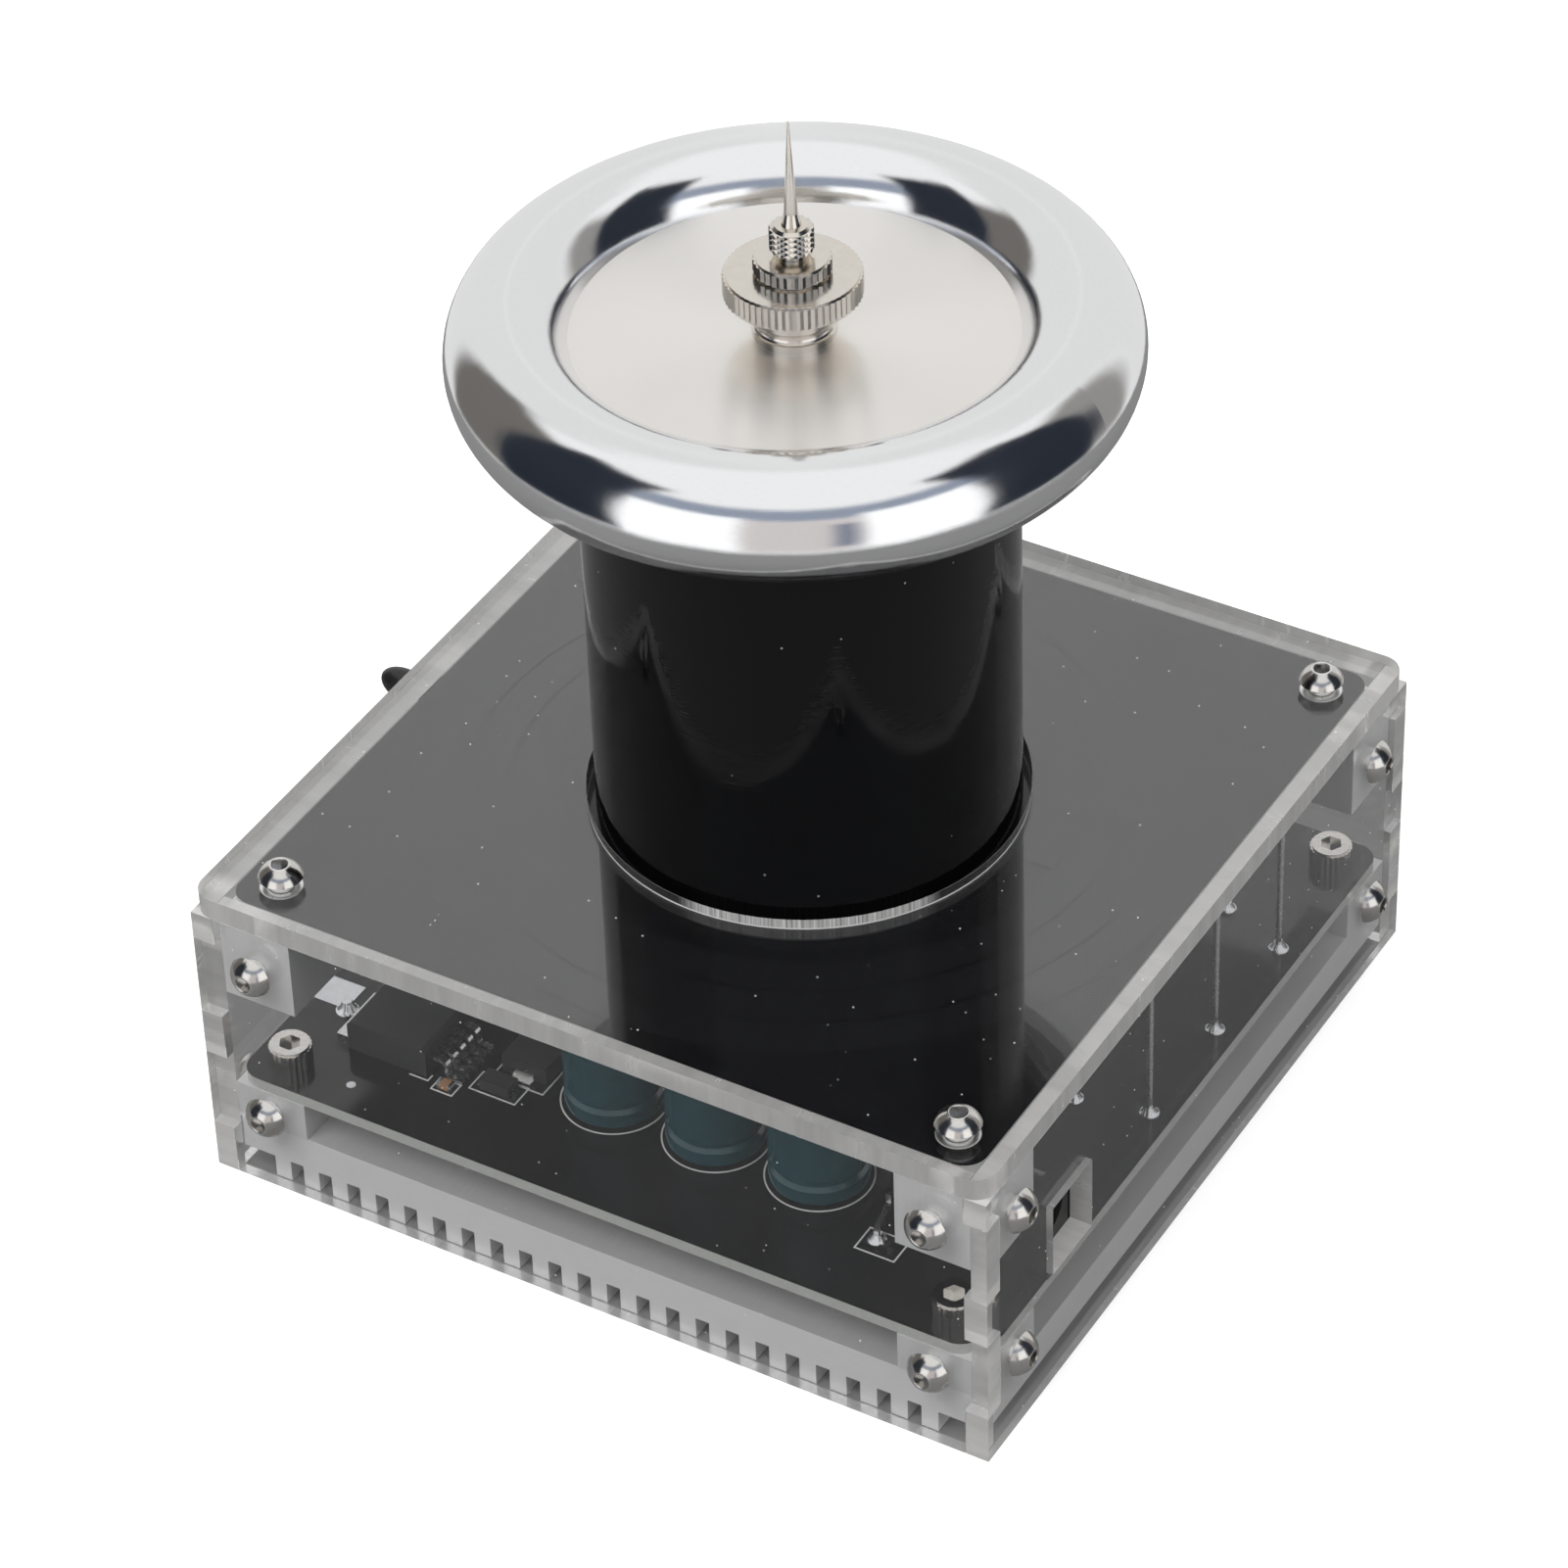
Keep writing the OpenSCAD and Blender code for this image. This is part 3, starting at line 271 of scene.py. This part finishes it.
def clear_sheet(axis):
    """Polished dusty faces across the axis, and pale frosted laser-cut edges along it."""
    material, tree, shader = start("clear_sheet_" + "xyz"[axis], SHEET_TINT, roughness=0.0,
                                   IOR=SHEET_IOR)
    place = place_mm(tree)
    edge = math_of(tree, "LESS_THAN", facing(tree, axis), FACING)
    dust = specks(tree, place, scale=0.45, size=0.045, share=0.35)
    dust = times(tree, dust, math_of(tree, "SUBTRACT", 1.0, edge))
    scale = [EDGE_LINES] * 3
    scale[axis] = EDGE_LINES_ACROSS
    lines = noise(tree, stretched(tree, place, tuple(scale)), roughness=0.6)
    frost = shaded(tree, lines, EDGE_TINT, low=0.72, high=1.2)
    murk = larger(tree, times(tree, edge, 1 - EDGE_CLEARNESS), dust)
    # On the plate, the hole's wall turns opaque and takes painted shade and painted highlights in
    # place of the frost
    if axis == 2:
        hole, wall = coil_hole(tree, place)
        hole = times(tree, hole, edge)
        frost = mix_colour(tree, hole, frost, wall)
        murk = larger(tree, murk, hole)
    cut = levels(tree, lines, low=EDGE_ROUGHNESS * 0.7, high=EDGE_ROUGHNESS * 1.3)
    rough = plus(tree, times(tree, edge, cut), times(tree, dust, DUST_ROUGHNESS))
    relief = bump(tree, times(tree, edge, lines), strength=0.3, depth_mm=0.05)
    finish_shader(tree, shader, mix_colour(tree, edge, SHEET_TINT, frost), rough, relief)
    set_input(tree, shader, "Transmission Weight", math_of(tree, "SUBTRACT", 1.0, murk))
    see_through = put(tree, "ShaderNodeBsdfTransparent", {"Color": SHEET_TINT}).outputs[0]
    shadow = put(tree, "ShaderNodeLightPath").outputs["Is Shadow Ray"]
    mixed = mix_shader(tree, shadow, shader.outputs[0], see_through)
    tree.links.new(mixed, tree.nodes["Material Output"].inputs["Surface"])
    return material


TOROID_COLOURS = (0.8, 0.805, 0.82), (0.99, 0.995, 1.0)
DISC_COLOURS = (0.96, 0.935, 0.9), (1.0, 0.975, 0.945)
NICKEL_COLOURS = (0.74, 0.69, 0.62), (0.83, 0.79, 0.73)


def polished_toroid():
    """Bright spun metal with fine lines round the ring."""
    material, tree, shader = start("polished_aluminium", (0.9, 0.905, 0.915), roughness=0.1,
                                   metallic=1.0)
    place = place_mm(tree)
    flat, around = round_axis(tree, place)
    out = math_of(tree, "SUBTRACT", flat, TOROID_RADIUS / MM)
    up = math_of(tree, "SUBTRACT", split(tree, place)[2], TOROID_MIDDLE / MM)
    arc = times(tree, math_of(tree, "ARCTAN2", up, out), TOROID_TUBE / MM)

    def streaks(sweep, **look):
        return noise(tree, join(tree, arc, times(tree, around, sweep)), **look)

    lines = streaks(1.2, scale=9.0, detail=4.0, roughness=0.75)
    broad = streaks(0.8, scale=0.7, detail=2.0)
    scratches = streaks(2.5, scale=16.0, detail=4.0, roughness=0.8)
    clouds = levels(tree, noise(tree, place, scale=0.12, detail=4.0), low=-0.03, high=0.06)
    rough = larger(tree, plus(tree, levels(tree, lines, low=0.04, high=0.15), clouds), 0.05)
    height = plus(tree, times(tree, lines, 0.55), broad)
    relief = bump(tree, height, strength=0.3, depth_mm=0.02)
    finish_shader(tree, shader, mix_colour(tree, scratches, *TOROID_COLOURS), rough, relief)
    return material


def turned_disc():
    """Flat turned metal whose rings draw reflections out towards the eye."""
    material, tree, shader = start("brushed_aluminium", (0.97, 0.96, 0.94), roughness=0.32,
                                   metallic=1.0, Anisotropic=0.92, Anisotropic_Rotation=0.25)
    place = place_mm(tree)
    flat, around = round_axis(tree, place)
    turning = join(tree, flat, times(tree, around, 0.6))
    rings = noise(tree, turning, scale=6.0, detail=5.0, roughness=0.75)
    cloud = levels(tree, noise(tree, place, scale=0.15), low=-0.03, high=0.03)
    rough = plus(tree, levels(tree, rings, low=0.26, high=0.36), cloud)
    relief = bump(tree, rings, strength=0.2, depth_mm=0.01)
    finish_shader(tree, shader, mix_colour(tree, rings, *DISC_COLOURS), rough, relief)
    tangent = put(tree, "ShaderNodeTangent", direction_type="RADIAL", axis="Z").outputs[0]
    set_input(tree, shader, "Tangent", tangent)
    return material


def nickel():
    """Warm bright plate over turned brass."""
    material, tree, shader = start("nickel", (0.79, 0.745, 0.68), roughness=0.16, metallic=1.0)
    place = place_mm(tree)
    x, _, z = split(tree, place)
    turning = join(tree, plus(tree, z, times(tree, x, 0.02)))
    rings = noise(tree, turning, scale=14.0, detail=4.0, roughness=0.7)
    cloud = noise(tree, place, scale=0.9)
    rough = levels(tree, cloud, low=0.1, high=0.24)
    relief = bump(tree, rings, strength=0.2, depth_mm=0.02)
    finish_shader(tree, shader, mix_colour(tree, cloud, *NICKEL_COLOURS), rough, relief)
    return material


# The coil's gloss, with texture scales per millimetre along x, y and z
GLOSS_BLACK = (0.002, 0.002, 0.0024)
GLOSS_DUST = (0.3, 0.3, 0.3)
TURN_SCALES = (0.05, 0.05, 2.3)
PATCH_SCALES = (0.12, 0.12, 0.03)
PATCH_LEAST = 0.15
DRIFT_SCALES = (0.06, 0.06, 0.12)


def wound_gloss():
    """Black gloss over fine, slightly uneven turns of wire."""
    material, tree, shader = start("gloss_black", GLOSS_BLACK, roughness=0.04,
                                   Specular_IOR_Level=0.3)
    place = place_mm(tree)
    low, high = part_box("secondary_winding")
    wound = between(tree, split(tree, place)[2], low[2] / MM, high[2] / MM, soft=0.2)
    turns = noise(tree, stretched(tree, place, TURN_SCALES), detail=2.0, roughness=0.4)
    patchy = noise(tree, stretched(tree, place, PATCH_SCALES), detail=2.0)
    patchy = larger(tree, levels(tree, patchy, low=-0.9, high=1.5), PATCH_LEAST)
    drift = noise(tree, stretched(tree, place, DRIFT_SCALES), detail=2.0)
    uneven = times(tree, times(tree, turns, wound), patchy)
    dust = specks(tree, place, scale=0.35, size=0.05, share=0.25)
    rough = levels(tree, noise(tree, place, scale=0.3, detail=4.0), low=0.02, high=0.06)
    relief = bump(tree, plus(tree, uneven, drift), strength=1.0, depth_mm=0.04)
    finish_shader(tree, shader, mix_colour(tree, dust, GLOSS_BLACK, GLOSS_DUST), rough, relief)
    return material


MASK_BLACK = (0.006, 0.006, 0.0066)
MASK_COPPER = (0.0075, 0.0075, 0.0084), (0.011, 0.011, 0.012)
MASK_ROUGHNESS = (0.07, 0.14)
BOARD_EDGE = (0.42, 0.43, 0.41)
BOARD_DUST = (0.35, 0.35, 0.35)
TRACK_SCALE = 0.11
TRACKLESS_SHARE = 0.45


def board(name, glow):
    """Black solder mask, dust, tracks glow times as bright, and a pale glass-fibre edge."""
    material, tree, shader = start(name, MASK_BLACK, roughness=0.32)
    place = place_mm(tree)
    edge = math_of(tree, "LESS_THAN", facing(tree, 2), FACING)
    cells = put(tree, "ShaderNodeTexVoronoi", {"Vector": place, "Scale": TRACK_SCALE},
                distance="MANHATTAN", feature="F1").outputs["Color"]
    copper = math_of(tree, "GREATER_THAN", split(tree, cells)[1], TRACKLESS_SHARE)
    dust = specks(tree, place, scale=0.7, size=0.06, share=0.12)
    top = mix_colour(tree, copper, MASK_BLACK, scaled(MASK_BLACK, glow))
    top = mix_colour(tree, dust, top, BOARD_DUST)
    grain = noise(tree, place, scale=6.0, detail=4.0)
    fibre = shaded(tree, grain, BOARD_EDGE, low=0.7, high=1.3)
    rough = levels(tree, noise(tree, place, scale=0.4), *MASK_ROUGHNESS)
    height = plus(tree, copper, times(tree, grain, 0.1))
    relief = bump(tree, height, strength=0.12, depth_mm=0.03)
    finish_shader(tree, shader, mix_colour(tree, edge, top, fibre), rough, relief)
    return material


def mask_copper():
    """Copper under black solder mask."""
    material, tree, shader = start("mask_copper", (0.009, 0.009, 0.01), roughness=0.1)
    grain = noise(tree, place_mm(tree), scale=2.0, detail=4.0)
    rough = levels(tree, grain, *MASK_ROUGHNESS)
    relief = bump(tree, grain, strength=0.05, depth_mm=0.02)
    finish_shader(tree, shader, mix_colour(tree, grain, *MASK_COPPER), rough, relief)
    return material


# Extruded metal, with texture scales per millimetre
MATT_METAL = 0.45
DRAWN_SCALE = 3.0
DRAWN_SCALE_ALONG = 0.05
SAWN_SCALES = (0.35, 1.0, 4.0)
SAWN_ROUGHER = 0.2


def drawn_aluminium(name, colour, along, saw_axis):
    """Extruded metal: lines along the extrusion, and a matt sawn face across it."""
    material, tree, shader = start(name, colour, roughness=0.34, metallic=MATT_METAL)
    place = place_mm(tree)
    scale = [DRAWN_SCALE] * 3
    scale[along] = DRAWN_SCALE_ALONG
    lines = noise(tree, stretched(tree, place, tuple(scale)), detail=4.0, roughness=0.65)
    cut = math_of(tree, "GREATER_THAN", facing(tree, saw_axis), FACING)
    grain = noise(tree, place, scale=5.0, detail=5.0, roughness=0.7)
    scratch = noise(tree, stretched(tree, place, SAWN_SCALES), detail=5.0, roughness=0.8)
    drawn = shaded(tree, lines, colour, low=0.86, high=1.0)
    sawn = shaded(tree, scratch, colour, low=0.92, high=1.06)
    rough = plus(tree, levels(tree, lines, low=0.24, high=0.4), times(tree, cut, SAWN_ROUGHER))
    relief = bump(tree, mix_colour(tree, cut, lines, grain), strength=0.3, depth_mm=0.03)
    finish_shader(tree, shader, mix_colour(tree, cut, drawn, sawn), rough, relief)
    return material


def metal(name, colour, rough, wear=0.06):
    """Plain bright metal with a little wear."""
    material, tree, shader = start(name, colour, roughness=rough, metallic=1.0)
    place = place_mm(tree)
    cloud = noise(tree, place, scale=1.2, detail=5.0, roughness=0.65)
    relief = bump(tree, noise(tree, place, scale=6.0), strength=wear, depth_mm=0.02)
    finish_shader(tree, shader, shaded(tree, cloud, colour, low=0.84, high=1.1),
                  levels(tree, cloud, low=rough - 0.08, high=rough + 0.08), relief)
    return material


def plastic(name, colour, rough, grain_scale=4.0, grain=0.25):
    """Moulded plastic with a fine grain."""
    material, tree, shader = start(name, colour, roughness=rough)
    place = place_mm(tree)
    cloud = noise(tree, place, scale=0.5)
    height = noise(tree, place, scale=grain_scale, detail=4.0)
    finish_shader(tree, shader, shaded(tree, cloud, colour, low=0.8, high=1.2),
                  levels(tree, cloud, low=rough * 0.8, high=rough * 1.2),
                  bump(tree, height, strength=grain, depth_mm=0.03))
    return material


def dress_frame():
    for name, axis in SHEET_AXES.items():
        dress(clear_sheet(axis), name)
    dress(polished_toroid(), "toroid_ring")
    dress(turned_disc(), "toroid_disc")
    dress(nickel(), "terminal_stud", "terminal_collar", "thumb_nut", "lock_nut",
          "discharge_needle", "switch_bushing", "switch_washer", "switch_nut", "switch_lever",
          "jack_pin")
    dress(wound_gloss(), "coil_sleeve")
    dress(board("black_board_driver", glow=1.6), "driver_board")
    dress(board("black_board_primary", glow=1.2), "primary_board")
    dress(mask_copper(), "primary_track")
    dress(drawn_aluminium("extruded_aluminium", (0.86, 0.86, 0.87), along=1, saw_axis=1),
          "heat_sink")
    dress(drawn_aluminium("block_aluminium", (0.8, 0.8, 0.805), along=2, saw_axis=2),
          "lower_corner_blocks", "upper_corner_blocks")
    dress(metal("screw_steel", (0.74, 0.72, 0.69), rough=0.17),
          "short_screws", "plate_screws", "board_screws", "stud_nut")
    dress(metal("can_aluminium", (0.78, 0.78, 0.79), rough=0.3), "capacitor_cans")
    dress(metal("tinned", (0.74, 0.74, 0.73), rough=0.26), "driver_chip_tab",
          "driver_chip_leads", "rectifier_leads", "signal_diode_leads", "chip_capacitor_ends",
          "link_wires", "bent_lead", "jack_terminals", "switch_terminals", "transistor_tabs",
          "transistor_leads")
    dress(metal("solder", (0.7, 0.71, 0.73), rough=0.15), "solder_joints")
    dress(metal("copper_wire", (0.72, 0.36, 0.18), rough=0.3),
          "secondary_lead", "secondary_winding")
    dress(plastic("teal_film", (0.012, 0.054, 0.068), rough=0.2, grain_scale=1.5, grain=0.15),
          "capacitor_sleeves")
    dress(plastic("black_epoxy", (0.03, 0.03, 0.031), rough=0.5, grain_scale=9.0, grain=0.4),
          "driver_chip", "rectifier", "signal_diode", "power_transistors")
    dress(plastic("black_plastic", (0.012, 0.012, 0.012), rough=0.3),
          "dc_jack", "lever_cap", "coil_foot", "coil_top_plug")
    dress(plastic("blue_plastic", (0.03, 0.05, 0.22), rough=0.4), "switch_body")
    dress(plastic("ceramic", (0.36, 0.2, 0.11), rough=0.5, grain_scale=8.0), "chip_capacitor")
    dress(plastic("white_ink", (0.75, 0.75, 0.74), rough=0.6, grain_scale=8.0), "board_outlines")
    dress(plastic("pad_grey", (0.3, 0.3, 0.31), rough=0.7), "thermal_pads")
    dress(plastic("white_plastic", (0.72, 0.72, 0.68), rough=0.4), "coil_former")


# Thin trim, as rings of (radius, height) in millimetres
PAD_PROFILE = [(1.65, 0.0), (1.7, 0.035), (2.2, 0.06), (2.6, 0.05), (2.75, 0.0)]
RIM_PROFILE = [(1.0, -0.15), (1.03, 0.0), (1.12, 0.07), (1.24, 0.07), (1.36, 0.02),
               (1.42, -0.05)]
RING_SEGMENTS = 64
BUTTON_RADIUS = 2.85 * MM
WALL_SCREW_LEVELS = (11 * MM, 34 * MM)
UP = (0, 0, 1)


def new_object(name, shape, material):
    """The bmesh as an object of the scene."""
    mesh = bpy.data.meshes.new(name)
    shape.to_mesh(mesh)
    shape.free()
    mesh.materials.append(material)
    thing = bpy.data.objects.new(name, mesh)
    bpy.context.scene.collection.objects.link(thing)
    return thing


def circle(radius_mm, height_mm):
    """The points of one ring round the upright axis."""
    turns = [2 * math.pi * step / RING_SEGMENTS for step in range(RING_SEGMENTS)]
    flat = [(radius_mm * math.cos(turn), radius_mm * math.sin(turn)) for turn in turns]
    return [MM * Vector((x, y, height_mm)) for x, y in flat]


def add_rings(name, profile, places, material):
    """A closed ring at each place, a (middle, direction) pair, all in one piece."""
    shape = bmesh.new()
    for middle, direction in places:
        tilt = Vector(UP).rotation_difference(Vector(direction))
        rows = [[shape.verts.new(Vector(middle) + tilt @ point) for point in circle(*ring)]
                for ring in profile]
        rows.append(rows[0])
        for inner, outer in zip(rows, rows[1:]):
            for step in range(RING_SEGMENTS):
                after = (step + 1) % RING_SEGMENTS
                shape.faces.new((inner[step], outer[step], outer[after], inner[after]))
    bmesh.ops.recalc_face_normals(shape, faces=shape.faces)
    for face in shape.faces:
        face.smooth = True
    rings = new_object(name, shape, material)
    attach(rings, "case")


def add_trim():
    """Tinned pads under the plate screws, and turned rims round the button heads' sockets."""
    plate_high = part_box("plate_screws")[1]
    wall_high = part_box("short_screws")[1]
    board_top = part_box("primary_board")[1][2]
    inset = plate_high[0] - BUTTON_RADIUS
    pads, plate_rims, wall_rims = [], [], []
    for side_x in (-1, 1):
        for side_y in (-1, 1):
            x, y = side_x * inset, side_y * inset
            pads.append(((x, y, board_top), UP))
            plate_rims.append(((x, y, plate_high[2]), UP))
            for level in WALL_SCREW_LEVELS:
                wall_rims.append(((side_x * wall_high[0], y, level), (side_x, 0, 0)))
                wall_rims.append(((x, side_y * wall_high[1], level), (0, side_y, 0)))
    pad_metal = metal("tinned_pad", (0.86, 0.86, 0.85), rough=0.3, wear=0.3)
    rim_metal = metal("screw_rim", (0.82, 0.81, 0.79), rough=0.2)
    add_rings("corner_pads", PAD_PROFILE, pads, pad_metal)
    add_rings("socket_rims", RIM_PROFILE, plate_rims + wall_rims, rim_metal)


# The studio as polished surfaces see it: panels by azimuth from the camera's own and by
# elevation, in degrees, each with its colour and the softness of its edges
STUDIO_BASE = (0.93, 0.93, 0.93)
STUDIO_PANELS = [
    ((-181, -125), (-30, 60), (0.78, 0.78, 0.775), 6),
    ((125, 181), (-30, 60), (0.78, 0.78, 0.775), 6),
    ((-134, -100), (-26, 44), (0.16, 0.15, 0.14), 4),
    ((100, 122), (-26, 44), (0.3, 0.29, 0.28), 6),
    ((-103, -57), (-27, 56), (0.02, 0.025, 0.036), 3),
    ((57, 103), (-27, 60), (0.02, 0.025, 0.036), 3),
    ((-58, 60), (26, 46), (0.3, 0.34, 0.42), 4),
    ((-57, -19), (-27, 30), (1.15, 1.15, 1.15), 2),
    ((19, 57), (-27, 32), (1.15, 1.15, 1.15), 2),
    ((-19, 19), (-27, 28), (0.66, 0.62, 0.61), 2),
    ((9, 17), (-22, 18), (0.22, 0.24, 0.3), 2),
]
WORLD_GREY = (0.78, 0.78, 0.78)
BACKDROP = (1.0, 1.0, 1.0)


def way_to(azimuth, elevation=0.0):
    """The direction out from the object; azimuth runs from the front towards the right."""
    flat = math.cos(elevation)
    return Vector((math.sin(azimuth) * flat, -math.cos(azimuth) * flat, math.sin(elevation)))


VIEW_BACK = way_to(VIEW_AZIMUTH, VIEW_ELEVATION)
VIEW_LEVEL = way_to(VIEW_AZIMUTH + math.pi / 2)


def studio_colour(tree):
    """The colour of the studio in a direction of the world."""
    ray = put(tree, "ShaderNodeTexCoord").outputs["Generated"]
    near = vector_math(tree, "DOT_PRODUCT", {0: ray, 1: way_to(VIEW_AZIMUTH)})["Value"]
    side = vector_math(tree, "DOT_PRODUCT", {0: ray, 1: VIEW_LEVEL})["Value"]
    azimuth = math_of(tree, "DEGREES", math_of(tree, "ARCTAN2", side, near))
    elevation = math_of(tree, "DEGREES", math_of(tree, "ARCSINE", split(tree, ray)[2]))
    colour = STUDIO_BASE
    for sweep, rise, shade, soft in STUDIO_PANELS:
        across = between(tree, azimuth, *sweep, soft)
        inside = times(tree, across, between(tree, elevation, *rise, soft))
        colour = mix_colour(tree, inside, colour, shade)
    return colour


def make_world():
    """Grey light; the studio in polished surfaces, and white through clear sheet and behind all."""
    world = bpy.data.worlds.new("studio")
    bpy.context.scene.world = world
    world.use_nodes = True
    tree = world.node_tree
    path = put(tree, "ShaderNodeLightPath").outputs
    colour = mix_colour(tree, path["Is Glossy Ray"], WORLD_GREY, studio_colour(tree))
    colour = mix_colour(tree, path["Is Transmission Ray"], colour, BACKDROP)
    colour = mix_colour(tree, path["Is Camera Ray"], colour, BACKDROP)
    set_input(tree, tree.nodes["Background"], "Color", colour)


# The table that the object stands on, in metres, and its (cloth, glow) to each kind of ray
FLOOR_RADIUS = 4.0
FLOOR_DROP = 0.05 * MM
FLOOR_SEGMENTS = 96
TABLE_RADIUS = 0.24
TABLE_TO_CAMERA = (0.72, 0.45)
# The table is darker to mirrors: a painted shade for the object's shadow on the table round it
TABLE_SHADED_TO_MIRRORS = (0.2, 0.0)
TABLE_TO_OTHERS = (0.38, 0.05)


def table(tree, cloth, glow):
    painted_light = put(tree, "ShaderNodeBsdfDiffuse", {"Color": (cloth,) * 3}).outputs[0]
    even = put(tree, "ShaderNodeEmission", {"Color": (1, 1, 1), "Strength": glow}).outputs[0]
    return put(tree, "ShaderNodeAddShader", {0: painted_light, 1: even}).outputs[0]


def make_floor():
    """A table, white to the camera, grey as light and through clear sheet, and darker in mirrors as
    painted shade for the object's shadow on the table round it.

    Mirrors see no table past its radius, but the studio below the horizon.
    """
    material = bpy.data.materials.new("floor")
    material.use_nodes = True
    tree = material.node_tree
    tree.nodes.remove(tree.nodes["Principled BSDF"])
    path = put(tree, "ShaderNodeLightPath").outputs
    to_others, shaded_to_mirrors = table(tree, *TABLE_TO_OTHERS), table(tree, *TABLE_SHADED_TO_MIRRORS)
    seen = mix_shader(tree, path["Is Glossy Ray"], to_others, shaded_to_mirrors)
    seen = mix_shader(tree, path["Is Camera Ray"], seen, table(tree, *TABLE_TO_CAMERA))
    reach = length(tree, put(tree, "ShaderNodeTexCoord").outputs["Object"])
    past = math_of(tree, "GREATER_THAN", reach, TABLE_RADIUS)
    past = times(tree, past, path["Is Glossy Ray"])
    clear = put(tree, "ShaderNodeBsdfTransparent").outputs[0]
    surface = mix_shader(tree, past, seen, clear)
    tree.links.new(surface, tree.nodes["Material Output"].inputs["Surface"])

    shape = bmesh.new()
    bmesh.ops.create_circle(shape, cap_ends=True, segments=FLOOR_SEGMENTS, radius=FLOOR_RADIUS)
    bmesh.ops.translate(shape, verts=shape.verts, vec=(0, 0, -FLOOR_DROP))
    floor = new_object("floor", shape, material)


# Lamps: azimuth from the camera's own and elevation in degrees, distance and width in metres,
# watts
LAMPS = [
    ("key", -48, 48, 1.1, 0.8, 6.0),
    ("fill", 62, 40, 1.3, 0.9, 4.0),
    ("back", 170, 55, 1.3, 0.9, 3.0),
]


def make_lamps():
    for name, azimuth, elevation, distance, width, watts in LAMPS:
        data = bpy.data.lights.new(name, "AREA")
        data.shape = "DISK"
        data.size = width
        data.energy = watts
        lamp = bpy.data.objects.new(name, data)
        lamp.visible_glossy = False
        lamp.visible_transmission = False
        bpy.context.scene.collection.objects.link(lamp)
        away = way_to(VIEW_AZIMUTH + math.radians(azimuth), math.radians(elevation))
        lamp.location = away * distance
        lamp.rotation_euler = (VIEW_AIM - lamp.location).to_track_quat("-Z", "Y").to_euler()


def make_camera():
    upright = VIEW_BACK.cross(VIEW_LEVEL)
    right = math.cos(VIEW_ROLL) * VIEW_LEVEL + math.sin(VIEW_ROLL) * upright
    up = math.cos(VIEW_ROLL) * upright - math.sin(VIEW_ROLL) * VIEW_LEVEL
    data = bpy.data.cameras.new("camera")
    data.lens = LENS
    data.sensor_width = SENSOR
    data.clip_start = VIEW_NEAREST
    camera = bpy.data.objects.new("camera", data)
    bpy.context.scene.collection.objects.link(camera)
    turn = Matrix((right, up, VIEW_BACK)).transposed().to_4x4()
    place = VIEW_AIM + VIEW_DISTANCE * VIEW_BACK + VIEW_SLIDE[0] * right + VIEW_SLIDE[1] * up
    camera.matrix_world = Matrix.Translation(place) @ turn
    bpy.context.scene.camera = camera


dress_frame()
add_trim()
make_world()
make_floor()
make_lamps()
make_camera()
bpy.context.scene.view_settings.view_transform = "Standard"
